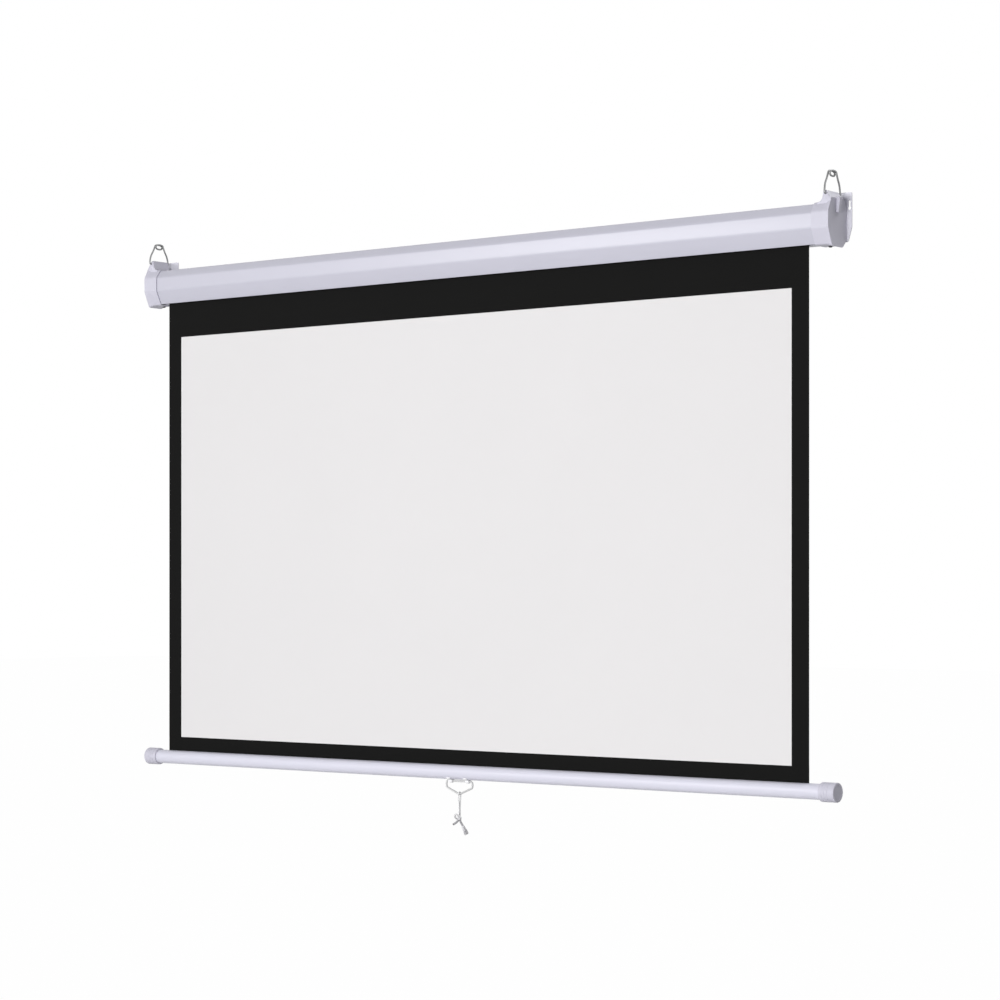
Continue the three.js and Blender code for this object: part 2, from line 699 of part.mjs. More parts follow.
function weightBar() {
  const channel = solid(rodX(channelRadius + bar.channelWall, -barEnd, barEnd, fabricY, rodZ, 24))
    .intersect(solid(rodX(bar.radius - bar.wall / 2, -barEnd, barEnd, fabricY, barZ)));
  const slot = rectangle(fabricY - bar.slot / 2, rodZ, fabricY + bar.slot / 2, barTop + overrun);
  return solid(rodX(bar.radius, -barEnd, barEnd, fabricY, barZ))
    .subtract(solid(rodX(bar.radius - bar.wall, -barEnd - overrun, barEnd + overrun, fabricY, barZ)))
    .add(channel)
    .subtract(solid(rodX(channelRadius, -barEnd - overrun, barEnd + overrun, fabricY, rodZ, 24)))
    .subtract(solid(alongX(slot, -barEnd - overrun, barEnd + overrun)));
}

function fabricHem() {
  const strip = rectangle(fabricFront, rodZ + hemInner, fabricBack, imageBottom);
  return solid(alongX(strip, -fabricHalf, fabricHalf))
    .add(solid(rodX(hemOuter, -fabricHalf, fabricHalf, fabricY, rodZ, 16)))
    .subtract(solid(rodX(hemInner, -fabricHalf - overrun, fabricHalf + overrun, fabricY, rodZ, 16)));
}

function barEndCap(sign) {
  const { radius, length, endWall, chamfer, grooves, grooveWidth, grooveDepth, pitch } = barCap;
  const bore = bar.radius + gap;
  const floor = barEnd + gap;
  const outer = floor + endWall;
  const mouth = outer - length;
  const profile = [
    [0, floor], [bore, floor], [bore, mouth], [radius - chamfer, mouth], [radius, mouth + chamfer],
  ];
  for (let i = 0; i < grooves; i++) {
    const x = mouth + chamfer + pitch * (i + 1);
    profile.push([radius, x], [radius - grooveDepth, x + grooveWidth / 4],
      [radius - grooveDepth, x + grooveWidth * 3 / 4], [radius, x + grooveWidth]);
  }
  profile.push([radius, outer - chamfer], [radius - chamfer, outer], [0, outer]);
  return turned(profile, new THREE.Vector3(sign, 0, 0), { x: 0, y: fabricY, z: barZ }, 24);
}

function handleSaddle(sign) {
  const bore = handle.wire / 2 + gap;
  const x = (sign * saddle.spacing) / 2;
  const from = x - saddle.length / 2;
  const to = x + saddle.length / 2;
  const outer = bore + saddle.strap;
  const foot = outer + saddle.foot;
  const seat = barZ - bar.radius;
  let body = solid(rodX(outer, from, to, fabricY, hingeZ, 12))
    .add(solid(alongX(rectangle(fabricY - foot, hingeZ, fabricY + foot, seat + saddle.foot), from, to)))
    .subtract(solid(rodX(bar.radius + gap, from - overrun, to + overrun, fabricY, barZ)))
    .intersect(solid(rodX(bar.radius + gap + saddle.strap, from, to, fabricY, barZ))
      .add(solid(rodX(outer, from, to, fabricY, hingeZ, 12))));
  const neckTop = seat - gap - saddle.lift / 2;
  const neck = alongX(rectangle(fabricY - outer, hingeZ, fabricY + outer, neckTop), from, to);
  body = body.add(solid(neck)).subtract(solid(rodX(bore, from - overrun, to + overrun, fabricY, hingeZ, 8)));
  return body.subtract(solid(rodX(bar.radius + gap, from - overrun, to + overrun, fabricY, barZ)));
}

const rodHalf = fabricHalf - hem.rodShort;
add(
  piece('weight_bar', weightBar(), barPaint),
  piece('fabric_hem', fabricHem(), blackFabric),
  piece('hem_rod', rodX(hem.rodRadius, -rodHalf, rodHalf, fabricY, rodZ, 16), nylon),
);
for (const { word, sign } of sides) {
  add(piece(`bar_cap_${word}`, barEndCap(sign), mouldedPlastic));
  add(piece(`handle_saddle_${word}`, handleSaddle(sign), platedSteel));
}

// Pull handle

const handleOutline = pointsOf(roundedShape([
  at(-handle.width / 2, hingeZ),
  at(-handle.width / 2, hingeZ - handle.side),
  at(0, handleLow),
  at(handle.width / 2, hingeZ - handle.side),
  at(handle.width / 2, hingeZ),
], handle.cornerRadius), 4);
const wireLow = Math.min(...handleOutline.map((point) => point.y));
const knotZ = wireLow - cord.drop;

add(piece('pull_handle', wireLoop(handleOutline, handle.wire, fabricY), zincSteel));

// Pull cord: two strands over the low point of the handle, a knot with a bow, and two tails

const knotHeightShare = 1.15;
const knotDepthShare = 1.1;
const bowShare = 1.1;
const tailShare = 1.5;

// Places on the way over the wire, as shares of the cord's turn and of its drop.
const turnShares = { top: 0.3, shoulder: 0.8, shoulderRise: 0.68, under: 0.95, spread: 1.15, drop: 0.45 };

function strand(way) {
  const top = wireLow + cordWrap;
  const seam = gap / 2;
  const { shoulder, shoulderRise, under, spread, drop } = turnShares;
  const places = [
    [seam, top],
    [cordWrap * turnShares.top, top],
    [cordWrap * shoulder, wireLow + cordWrap * shoulderRise],
    [cordWrap, wireLow],
    [cordWrap * under, wireLow - cord.diameter * 2],
    [cord.spread * spread, wireLow - cord.drop * drop],
    [cord.spread, knotZ + cord.knotRadius * knotHeightShare + gap],
  ].map(([out, z]) => new THREE.Vector3(0, fabricY + way * out, z));
  return wireAlong(new THREE.CatmullRomCurve3(places), cord.diameter, 20);
}

// Loose ends as shares of their size, from the middle of the knot.
const bowShares = [
  [0, 0, 0], [-0.45, 0.05, 0.45], [-0.95, 0.1, 0.75],
  [-1.1, 0, 0.3], [-0.75, -0.1, -0.05], [-0.1, -0.15, -0.15],
];
const shortTailShares = [[0, 0, 0], [-0.25, -0.1, -0.4], [-0.7, -0.15, -0.75], [-0.95, -0.1, -0.85]];
const longTailShares = [[0, 0, 0], [0.08, 0.05, -0.3], [0.28, 0.08, -0.62], [0.48, 0.05, -0.9]];
const brushShares = [[0, 0], [0.4, 0], [0.62, 0.4], [0.95, 0.85], [0.9, 1], [0, 1]];

const looseEnd = (shares, size) => new THREE.CatmullRomCurve3(
  shares.map(([x, y, z]) => new THREE.Vector3(x, y, z).multiplyScalar(size)));

function cordKnot() {
  const knot = new THREE.SphereGeometry(cord.knotRadius, 12, 8).scale(1, knotDepthShare, knotHeightShare);
  const longTail = looseEnd(longTailShares, cord.longTail);
  const brush = turned(
    brushShares.map(([out, along]) => [out * cord.brushRadius, along * cord.brushLength]),
    longTail.getTangent(1), longTail.getPoint(1), 8,
  );
  const body = solid(knot)
    .add(solid(wireAlong(looseEnd(bowShares, cord.bow), cord.diameter * bowShare, 14, 6)))
    .add(solid(wireAlong(looseEnd(shortTailShares, cord.shortTail), cord.diameter * tailShare, 7, 6)))
    .add(solid(wireAlong(longTail, cord.diameter * tailShare, 8, 6)))
    .add(solid(brush));
  return geometryOf(body).translate(0, fabricY, knotZ);
}

add(
  piece('cord_strand_front', strand(-1), cottonCord),
  piece('cord_strand_rear', strand(1), cottonCord),
  piece('cord_knot', cordKnot(), cottonCord),
);

// Wire hangers

// Places up a leg, as shares of the wire's diameter and of half the leg spacing.
const footShares = { innerRun: 2, run: 1, turnRun: 0.2, turnRise: 0.3, ankle: 2.4 };
const legShares = {
  ankle: 0.985, shoulder: 0.8, neck: 0.53, neckHeight: 0.77, shoulderShift: 0.5, neckShift: 0.85,
};
const eyeSquareness = 0.8;

// One leg of the wire, from its pin in the lug up to the eye.
function hangerLeg(way, shift) {
  const { wire, height, shoulder } = hanger;
  const half = hanger.legSpacing / 2;
  const pinTip = lug.depth / 2 - hanger.pinLength;
  return [
    [0, pinTip, 0],
    [0, half - wire * footShares.innerRun, 0],
    [0, half - wire * footShares.run, 0],
    [0, half - wire * footShares.turnRun, wire * footShares.turnRise],
    [0, half, wire],
    [0, half * legShares.ankle, wire * footShares.ankle],
    [shift * legShares.shoulderShift, half * legShares.shoulder, shoulder],
    [shift * legShares.neckShift, half * legShares.neck, height * legShares.neckHeight],
  ].map(([x, y, z]) => new THREE.Vector3(x, way * y, z));
}

// The wire comes up one side of the eye, goes once round it and leaves down the other side.
function hangerEye(shift) {
  const count = 24;
  const turn = Math.PI * 2 * hanger.eyeTurns;
  const squared = (share) => Math.sign(share) * Math.abs(share) ** eyeSquareness;
  return Array.from({ length: count + 1 }, (_, i) => {
    const angle = (turn - Math.PI) / 2 - (i / count) * turn;
    return new THREE.Vector3(
      ((2 * i) / count - 1) * shift,
      (squared(Math.cos(angle)) * hanger.eyeWidth) / 2,
      hanger.height + (squared(Math.sin(angle)) * hanger.eyeHeight) / 2,
    );
  });
}

function hangerBail(sign) {
  const shift = hanger.eyeShift / 2;
  const places = [...hangerLeg(-1, -shift), ...hangerEye(shift), ...hangerLeg(1, shift).reverse()];
  const curve = new THREE.CatmullRomCurve3(places, false, 'centripetal');
  return wireAlong(curve, hanger.wire, 88, 6).translate(sign * pinX, pinY, pinZ);
}

for (const { word, sign } of sides) add(piece(`hanger_${word}`, hangerBail(sign), platedSteel));

export default screenGroup;
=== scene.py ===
"""Pull down projector screen, dressed over its CAD frame. Metres, +Z up, the wall is the plane y = 0."""

import json
import math

import bmesh
import bpy
from mathutils import Matrix, Vector

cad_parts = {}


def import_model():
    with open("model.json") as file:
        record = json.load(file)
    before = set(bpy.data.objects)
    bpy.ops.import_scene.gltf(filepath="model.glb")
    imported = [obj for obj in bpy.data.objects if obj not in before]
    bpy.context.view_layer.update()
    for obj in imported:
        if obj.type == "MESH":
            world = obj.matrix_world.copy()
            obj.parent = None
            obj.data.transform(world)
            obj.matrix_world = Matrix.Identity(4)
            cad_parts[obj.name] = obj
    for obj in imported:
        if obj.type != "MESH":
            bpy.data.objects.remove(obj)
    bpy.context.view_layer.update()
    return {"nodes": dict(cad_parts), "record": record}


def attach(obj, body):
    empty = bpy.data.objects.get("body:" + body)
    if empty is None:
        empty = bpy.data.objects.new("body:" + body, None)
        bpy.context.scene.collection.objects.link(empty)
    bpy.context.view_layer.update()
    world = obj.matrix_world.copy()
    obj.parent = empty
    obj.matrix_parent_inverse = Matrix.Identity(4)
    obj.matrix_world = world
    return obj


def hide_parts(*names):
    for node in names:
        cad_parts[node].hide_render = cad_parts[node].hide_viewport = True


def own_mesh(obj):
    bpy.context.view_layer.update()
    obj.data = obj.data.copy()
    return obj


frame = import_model()
MM = 0.001

# Sizes of the screen, the same as the CAD model's

FABRIC_HALF = 835 * MM
IMAGE_HALF = 797 * MM
FABRIC_Y = -47.4 * MM
CLOTH_TOP = 4 * MM
CLOTH_THICKNESS = 0.4 * MM
COAT_THICKNESS = 0.3 * MM
IMAGE_TOP = -114.5 * MM
IMAGE_BOTTOM = -1011.5 * MM
BAR_TOP = -1042.5 * MM
BAR_RADIUS = 15 * MM
BAR_Z = BAR_TOP - BAR_RADIUS
SHELL_END = 880 * MM
CAP_START = 853 * MM
CAP_END = 890 * MM

# Camera, fitted to the corners of the cloth in the photograph

PHOTO_SIZE = 1000
FOCAL_PX = 2651.267
SENSOR = 36.0
AZIMUTH = math.radians(37.625)
DISTANCE = 5399.654 * MM
CENTRE_X = 105.403 * MM
BELOW_IMAGE_TOP = 564.096 * MM
HORIZON_PX = 588.502
CLIP_END = 60


def make_camera():
    data = bpy.data.cameras.new("camera")
    data.sensor_width = SENSOR
    data.lens = FOCAL_PX * SENSOR / PHOTO_SIZE
    data.shift_y = (HORIZON_PX - PHOTO_SIZE / 2) / PHOTO_SIZE
    data.clip_end = CLIP_END
    camera = bpy.data.objects.new("camera", data)
    camera.location = (
        CENTRE_X + DISTANCE * math.sin(AZIMUTH),
        FABRIC_Y - DISTANCE * math.cos(AZIMUTH),
        IMAGE_TOP - BELOW_IMAGE_TOP,
    )
    camera.rotation_euler = (math.pi / 2, 0, AZIMUTH)
    bpy.context.scene.collection.objects.link(camera)
    bpy.context.scene.camera = camera


make_camera()


# Shader maths


class Wire:
    """A socket with a sum's operators, in one material's node tree."""

    def __init__(self, tree, socket):
        self.tree = tree
        self.socket = socket

    def node(self, kind, settings=None, **values):
        made = self.tree.nodes.new("ShaderNode" + kind)
        for name, value in (settings or {}).items():
            setattr(made, name, value)
        for name, value in values.items():
            self.put(pick(made.inputs, name), value)
        return made

    def put(self, socket, value):
        if isinstance(value, Wire):
            self.tree.links.new(value.socket, socket)
        else:
            socket.default_value = value

    def out(self, made, name=0):
        return Wire(self.tree, made.outputs[name])

    def maths(self, operation, first, second):
        made = self.node("Math", {"operation": operation})
        self.put(made.inputs[0], first)
        self.put(made.inputs[1], second)
        return self.out(made)

    def __add__(self, other):
        return self.maths("ADD", self, other)

    def __mul__(self, other):
        return self.maths("MULTIPLY", self, other)

    def __sub__(self, other):
        return self.maths("SUBTRACT", self, other)

    def __rsub__(self, other):
        return self.maths("SUBTRACT", other, self)

    __radd__ = __add__
    __rmul__ = __mul__

    def clamped(self):
        """The value, kept between 0 and 1."""
        return self.out(self.node("Clamp", Value=self))


def pick(inputs, name):
    """A node's socket by its name, with the underscores of a keyword read as spaces."""
    return inputs[name.replace("_", " ")]


# The places of a Mix node's sockets for colours

MIX_SHARE = 0
MIX_LOW = 6
MIX_HIGH = 7
MIX_RESULT = 2


class Finish:
    """A material being made: its surface shader and the patterns it draws on."""

    def __init__(self, name, colour, roughness, metallic=0.0, **fixed):
        self.material = bpy.data.materials.new(name)
        self.material.use_nodes = True
        self.material.diffuse_color = (*colour, 1.0)
        tree = self.material.node_tree
        self.surface = tree.nodes["Principled BSDF"]
        self.surface.inputs["Base Color"].default_value = (*colour, 1.0)
        self.surface.inputs["Roughness"].default_value = roughness
        self.surface.inputs["Metallic"].default_value = metallic
        for socket, value in fixed.items():
            pick(self.surface.inputs, socket).default_value = value
        self.wire = Wire(tree, None)
        self.place = self.wire.out(self.wire.node("TexCoord"), "Object")

    def stretched(self, x, y, z):
        """The object's coordinates, multiplied along each axis."""
        made = self.wire.node("Mapping", Vector=self.place, Scale=(x, y, z))
        return self.wire.out(made)

    def noise(self, scale, detail, place=None):
        made = self.wire.node("TexNoise", Vector=place or self.place, Scale=scale, Detail=detail)
        return self.wire.out(made, "Fac")

    def wave(self, scale, axis):
        made = self.wire.node("TexWave", {"bands_direction": axis}, Vector=self.place, Scale=scale)
        return self.wire.out(made, "Fac")

    def blend(self, share, low, high):
        made = self.wire.node("Mix", {"data_type": "RGBA"})
        self.wire.put(made.inputs[MIX_SHARE], share)
        for socket, value in ((MIX_LOW, low), (MIX_HIGH, high)):
            self.wire.put(made.inputs[socket], value if isinstance(value, Wire) else (*value, 1.0))
        return self.wire.out(made, MIX_RESULT)

    def paint(self, colour):
        self.wire.put(self.surface.inputs["Base Color"], colour)

    def rough(self, value):
        self.wire.put(self.surface.inputs["Roughness"], value)

    def bump(self, height, distance, strength):
        """Gives the surface its relief, and returns the finished material."""
        made = self.wire.node("Bump", Height=height, Distance=distance, Strength=strength)
        self.wire.put(self.surface.inputs["Normal"], self.wire.out(made))
        return self.material


def tint(colour, share):
    return tuple(channel * share for channel in colour)


# Finishes


def satin_paint(name, colour, streak, gloss=0.12):
    """Powder paint on a rolled or drawn profile: fine orange peel, faint lengthways streaks."""
    dullness = 0.42
    made = Finish(name, colour, dullness, Coat_Weight=gloss, Coat_Roughness=0.25)
    cloud = made.noise(scale=9.0, detail=4.0)
    drawn = made.noise(scale=60.0, detail=2.0, place=made.stretched(0.03, 1.0, 1.0))
    made.paint(made.blend(cloud * 0.6 + drawn * 0.4, tint(colour, 0.97), tint(colour, 1.02)))
    made.rough(drawn * streak + (dullness - streak / 2))
    peel = made.noise(scale=1500.0, detail=2.0)
    return made.bump(peel * 0.5 + drawn * 0.2, distance=0.05 * MM, strength=0.35)


def moulded_plastic(name, colour):
    """Moulded cap plastic with a fine spark-eroded grain and a slight cloud in its tone."""
    made = Finish(name, colour, 0.48)
    grain = made.noise(scale=2600.0, detail=3.0)
    cloud = made.noise(scale=38.0, detail=4.0)
    made.paint(made.blend(cloud, tint(colour, 0.965), tint(colour, 1.02)))
    made.rough(cloud * 0.1 + 0.44)
    return made.bump(grain, distance=0.04 * MM, strength=0.5)


def plated_wire(name, colour, roughness):
    """Plated steel wire and pins: drawn lines, small dull spots."""
    made = Finish(name, colour, roughness, metallic=1.0)
    spots = made.noise(scale=420.0, detail=5.0)
    drawn = made.noise(scale=900.0, detail=2.0, place=made.stretched(1.0, 1.0, 0.12))
    made.paint(made.blend(spots, tint(colour, 0.85), tint(colour, 1.08)))
    made.rough(spots * 0.24 + (roughness - 0.08))
    return made.bump(drawn, distance=0.03 * MM, strength=0.4)


def plain_plastic(name, colour):
    """Plastic without a grain of its own: a soft cloud and a faint unevenness."""
    made = Finish(name, colour, 0.5)
    cloud = made.noise(scale=120.0, detail=3.0)
    made.paint(made.blend(cloud, tint(colour, 0.94), colour))
    return made.bump(made.noise(scale=900.0, detail=2.0), distance=0.03 * MM, strength=0.4)


THREAD_PITCH = 0.9 * MM


def weave_height(made):
    """Crossed threads in X and Z, under a coating."""
    across = made.wave(1 / THREAD_PITCH / 2, "X")
    down = made.wave(1 / THREAD_PITCH / 2, "Z")
    return across * down * 0.6 + (across + down) * 0.2


def black_cloth():
    """Black vinyl-coated cloth: a pressed weave and faint dust."""
    colour = (0.0045, 0.0045, 0.0044)
    made = Finish("black_cloth", colour, 0.62, Specular_IOR_Level=0.05)
    dust = made.noise(scale=14.0, detail=6.0)
    weave = weave_height(made)
    made.paint(made.blend(dust, tint(colour, 0.85), tint(colour, 1.2)))
    made.rough(dust * 0.14 + 0.55)
    return made.bump(weave, distance=0.06 * MM, strength=0.5)


def white_coat():
    """Matt white viewing coat: a fine even bead with hardly any shade of its own."""
    colour = (0.705, 0.693, 0.699)
    made = Finish("white_coat", colour, 0.92)
    cloud = made.noise(scale=3.0, detail=3.0)
    made.paint(made.blend(cloud, tint(colour, 0.99), tint(colour, 1.01)))
    beads = made.noise(scale=1400.0, detail=3.0)
    return made.bump(beads + weave_height(made) * 0.3, distance=0.03 * MM, strength=0.4)


# From this height down the cord's colour passes to its lower tone, over this length
CORD_LOWER_TONE_FROM = -1138 * MM
CORD_LOWER_TONE_OVER = 18 * MM


def cotton_braid(name, upper_tone, lower_tone):
    """Light grey twisted cord: flecks of yarn and soil, greyer from the knot down."""
    made = Finish(name, upper_tone, 0.9, Sheen_Weight=0.25, Sheen_Roughness=0.5)
    yarn = made.noise(scale=1300.0, detail=4.0, place=made.stretched(1.0, 1.0, 0.45))
    soil = made.noise(scale=120.0, detail=4.0)
    flecks = yarn * 0.7 + soil * 0.3
    height = made.wire.out(made.wire.node("SeparateXYZ", Vector=made.place), "Z")
    below = ((height - CORD_LOWER_TONE_FROM) * (-1 / CORD_LOWER_TONE_OVER)).clamped()
    shades = [made.blend(flecks, tint(colour, 0.9), tint(colour, 1.06)) for colour in (upper_tone, lower_tone)]
    made.paint(made.blend(below, *shades))
    return made.bump(yarn, distance=0.1 * MM, strength=0.3)


case_paint = satin_paint("case_paint", (0.515, 0.51, 0.59), streak=0.06, gloss=0.3)
bar_paint = satin_paint("bar_paint", (0.65, 0.645, 0.74), streak=0.08)
cap_plastic = moulded_plastic("cap_plastic", (0.565, 0.555, 0.64))
plate_paint = satin_paint("plate_paint", (0.68, 0.675, 0.745), streak=0.04)
plated_steel = plated_wire("plated_steel", (0.27, 0.272, 0.275), roughness=0.5)
handle_paint = satin_paint("handle_paint", (0.56, 0.56, 0.565), streak=0.05)
dark_steel = plated_wire("dark_steel", (0.06, 0.06, 0.065), roughness=0.45)
nylon = plain_plastic("nylon", (0.82, 0.81, 0.77))
cloth_black = black_cloth()
coat_white = white_coat()
cord_cotton = cotton_braid("cotton_braid", upper_tone=(0.88, 0.88, 0.89), lower_tone=(0.35, 0.346, 0.365))
# Painted light: the knot's cotton is a lighter copy of the cord's, to offset the shade its tight turns
# cast on each other
knot_cotton_painted_light = cotton_braid("knot_cotton_painted_light", upper_tone=(0.86, 0.86, 0.87), lower_tone=(0.62, 0.615, 0.64))
# Painted light: the frayed yarns are lighter than the tail they come from, to offset the shade the fine
# yarns cast on each other
loose_yarn_painted_light = cotton_braid("loose_yarn_painted_light", upper_tone=(0.68, 0.675, 0.7), lower_tone=(0.68, 0.675, 0.7))
saddle_paint = satin_paint("saddle_paint", (0.84, 0.84, 0.86), streak=0.05)
burnt_end = plain_plastic("burnt_end", (0.12, 0.11, 0.11))

SLOT_MATERIALS = {
    "case_paint": case_paint,
    "bar_paint": bar_paint,
    "cap_plastic": cap_plastic,
    "zinc_plate": plate_paint,
    "plated_steel": plated_steel,
    "dark_steel": dark_steel,
    "nylon": nylon,
    "black_fabric": cloth_black,
    "white_fabric": coat_white,
    "cotton_cord": cord_cotton,
}


def dress_cad_nodes():
    for part in frame["record"]["subparts"]:
        mesh = frame["nodes"][part["node"]].data
        mesh.materials.clear()
        saddle = part["node"].startswith("handle_saddle")
        mesh.materials.append(saddle_paint if saddle else SLOT_MATERIALS[part["material_slot"]])


dress_cad_nodes()


# Making pieces

WELD = 0.001 * MM


def piece(name, bm, material, body, node, slot, sharp=35):
    """Turns a bmesh into a shown piece that rides on a body and stands for a CAD node."""
    bmesh.ops.remove_doubles(bm, verts=bm.verts, dist=WELD)
    bmesh.ops.recalc_face_normals(bm, faces=bm.faces)
    mesh = bpy.data.meshes.new(name)
    bm.to_mesh(mesh)
    bm.free()
    mesh.materials.append(material)
    mesh.shade_smooth()
    mesh.set_sharp_from_angle(angle=math.radians(sharp))
    return place(bpy.data.objects.new(name, mesh), body, node, slot)


def place(obj, body, node, slot):
    bpy.context.scene.collection.objects.link(obj)
    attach(obj, body)
    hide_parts(node)
    return obj


def finish_edges(obj, width, segments, angle=40):
    """Rounds the edges that turn by more than an angle in degrees."""
    bevel = obj.modifiers.new("edges", "BEVEL")
    bevel.width = width
    bevel.segments = segments
    bevel.limit_method = "ANGLE"
    bevel.angle_limit = math.radians(angle)


def thicken(obj, thickness, offset=-1.0):
    """Gives a skin its wall, with crisp rims, so that the ends don't shade into the long faces."""
    wall = obj.modifiers.new("wall", "SOLIDIFY")
    wall.thickness = thickness
    wall.offset = offset
    wall.use_even_offset = True
    bpy.context.view_layer.update()
    apply_modifiers(obj)
    obj.data.set_sharp_from_angle(angle=math.radians(32))
    return obj


def apply_modifiers(obj):
    graph = bpy.context.evaluated_depsgraph_get()
    mesh = bpy.data.meshes.new_from_object(obj.evaluated_get(graph))
    obj.modifiers.clear()
    obj.data = mesh


def cut(obj, bm):
    """Cuts the closed shape in bm out of obj."""
    bmesh.ops.recalc_face_normals(bm, faces=bm.faces)
    mesh = bpy.data.meshes.new("cutter")
    bm.to_mesh(mesh)
    bm.free()
    cutter = bpy.data.objects.new("cutter", mesh)
    bpy.context.scene.collection.objects.link(cutter)
    knife = obj.modifiers.new("cut", "BOOLEAN")
    knife.operation = "DIFFERENCE"
    knife.solver = "EXACT"
    knife.object = cutter
    bpy.context.view_layer.update()
    apply_modifiers(obj)
    bpy.data.objects.remove(cutter)


def drawn_out(outline, shift, corner_radius=0.0):
    """A flat outline, its corners rounded, drawn out by a shift into a closed solid."""
    bm = bmesh.new()
    face = bm.faces.new([bm.verts.new(point) for point in outline])
    if corner_radius:
        bmesh.ops.bevel(
            bm, geom=list(bm.verts), offset=corner_radius, segments=6,
            affect="VERTICES", profile=0.5, material=-1,
        )
        face = bm.faces[:][0]
    made = bmesh.ops.extrude_face_region(bm, geom=[face], use_keep_orig=True)
    top = [v for v in made["geom"] if isinstance(v, bmesh.types.BMVert)]
    bmesh.ops.translate(bm, verts=top, vec=Vector(shift))
    bmesh.ops.recalc_face_normals(bm, faces=bm.faces)
    return bm


def drawn_along(section, half):
    """An open section of (y, z) points, drawn along X from minus half to half."""
    bm = bmesh.new()
    verts = [bm.verts.new((-half, y, z)) for y, z in section]
    edges = [bm.edges.new(pair) for pair in zip(verts, verts[1:])]
    made = bmesh.ops.extrude_edge_only(bm, edges=edges)
    moved = [v for v in made["geom"] if isinstance(v, bmesh.types.BMVert)]
    bmesh.ops.translate(bm, verts=moved, vec=(2 * half, 0, 0))
    return bm


def round_edges(bm, edges, radius, segments):
    bmesh.ops.bevel(
        bm, geom=edges, offset=radius, segments=segments, affect="EDGES", profile=0.5, material=-1)


def closed_between(bm, rings):
    """Joins a row of rings of verts, each vert to its like, into a solid with a flat face at each end."""
    for low, high in zip(rings, rings[1:]):
        for i in range(len(low)):
            bm.faces.new((low[i - 1], low[i], high[i], high[i - 1]))
    bm.faces.new(rings[0])
    bm.faces.new(rings[-1])


def long_edges(bm, turn, along=0.9):
    """Edges that run lengthways, by the X of their direction, between faces that turn by degrees."""
    return [
        edge for edge in bm.edges
        if len(edge.link_faces) == 2 and edge.calc_face_angle(0) > math.radians(turn)
        and abs((edge.verts[0].co - edge.verts[1].co).normalized().x) > along
    ]


def aim(bm, direction, origin):
    """Turns a shape that was made along Z to a direction, and moves it to an origin."""
    turn = Vector((0, 0, 1)).rotation_difference(Vector(direction)).to_matrix().to_4x4()
    bmesh.ops.transform(bm, matrix=Matrix.Translation(origin) @ turn, verts=bm.verts)
    return bm


def turned(profile, sides, direction, origin):
    """A turned solid from (radius, distance) pairs in mm, along a direction from an origin."""
    bm = bmesh.new()
    verts = [bm.verts.new((radius * MM, 0, distance * MM)) for radius, distance in profile]
    edges = [bm.edges.new(pair) for pair in zip(verts, verts[1:])]
    bmesh.ops.spin(
        bm, geom=verts + edges, cent=(0, 0, 0), axis=(0, 0, 1), angle=math.tau,
        steps=sides, use_merge=True,
    )
    bmesh.ops.remove_doubles(bm, verts=bm.verts, dist=WELD)
    return aim(bm, direction, origin)


def wire_curve(name, diameter, round_steps, material):
    data = bpy.data.curves.new(name, "CURVE")
    data.dimensions = "3D"
    data.bevel_depth = diameter / 2
    data.bevel_resolution = round_steps
    data.materials.append(material)
    return data


def smooth_wire(name, points, diameter, material, body, node, slot):
    """A round wire along smooth points, with flat ends."""
    data = wire_curve(name, diameter, round_steps=4, material=material)
    data.resolution_u = 6
    data.render_resolution_u = 6
    data.use_fill_caps = True
    spline = data.splines.new("BEZIER")
    spline.bezier_points.add(len(points) - 1)
    for knot, point in zip(spline.bezier_points, points):
        knot.co = point
        knot.handle_left_type = "AUTO"
        knot.handle_right_type = "AUTO"
    place(bpy.data.objects.new(name, data), body, node, slot)


# Case: its corners, slot and lips are in mm, Y and then Z

CASE_CORNERS = [
    (-19, -37.5), (-5, -25.5), (-5, 28.5), (-13, 37.5),
    (-57, 37.5), (-69, 20.5), (-69, -8.5), (-55, -37.5),
]
CASE_BOTTOM = -37.5
SLOT_FRONT = -53.4
SLOT_REAR = -41.4
LIP_TOP = -33.5
CASE_WALL = 1.2 * MM
LIP_RADIUS = 0.7 * MM
CASE_RADIUS = 2.6 * MM
UNDERSIDE_FRONT = -56.4
UNDERSIDE_REAR = -20.0


def offset_corners(distance):
    """The case's eight corners, in mm, moved out by a distance along both edges that meet there."""
    made = []
    count = len(CASE_CORNERS)
    for i, corner in enumerate(CASE_CORNERS):
        here = Vector(corner)
        along = (here - Vector(CASE_CORNERS[i - 1])).normalized()
        onward = (Vector(CASE_CORNERS[(i + 1) % count]) - here).normalized()
        normal = Vector((along.y, -along.x))
        bisector = (Vector((onward.y, -onward.x)) + normal).normalized()
        made.append(here + bisector * (distance / bisector.dot(normal)))
    return made


def on_underside(edge):
    return UNDERSIDE_FRONT < edge.verts[0].co.y / MM < UNDERSIDE_REAR


def case_skin():
    """The folded shell: a small radius at the underside's front and slot, and a larger one elsewhere."""
    outline = [
        (SLOT_REAR, LIP_TOP), (SLOT_REAR, CASE_BOTTOM), *CASE_CORNERS,
        (SLOT_FRONT, CASE_BOTTOM), (SLOT_FRONT, LIP_TOP),
    ]
    bm = drawn_along([(y * MM, z * MM) for y, z in outline], SHELL_END)
    lips = [edge for edge in long_edges(bm, turn=8) if on_underside(edge)]
    round_edges(bm, lips, LIP_RADIUS, segments=3)
    corners = [edge for edge in long_edges(bm, turn=23) if not on_underside(edge)]
    round_edges(bm, corners, CASE_RADIUS, segments=8)
    obj = piece("case_skin", bm, case_paint, "case", "case_shell", slot="case_paint", sharp=30)
    thicken(obj, CASE_WALL)


case_skin()


# End caps

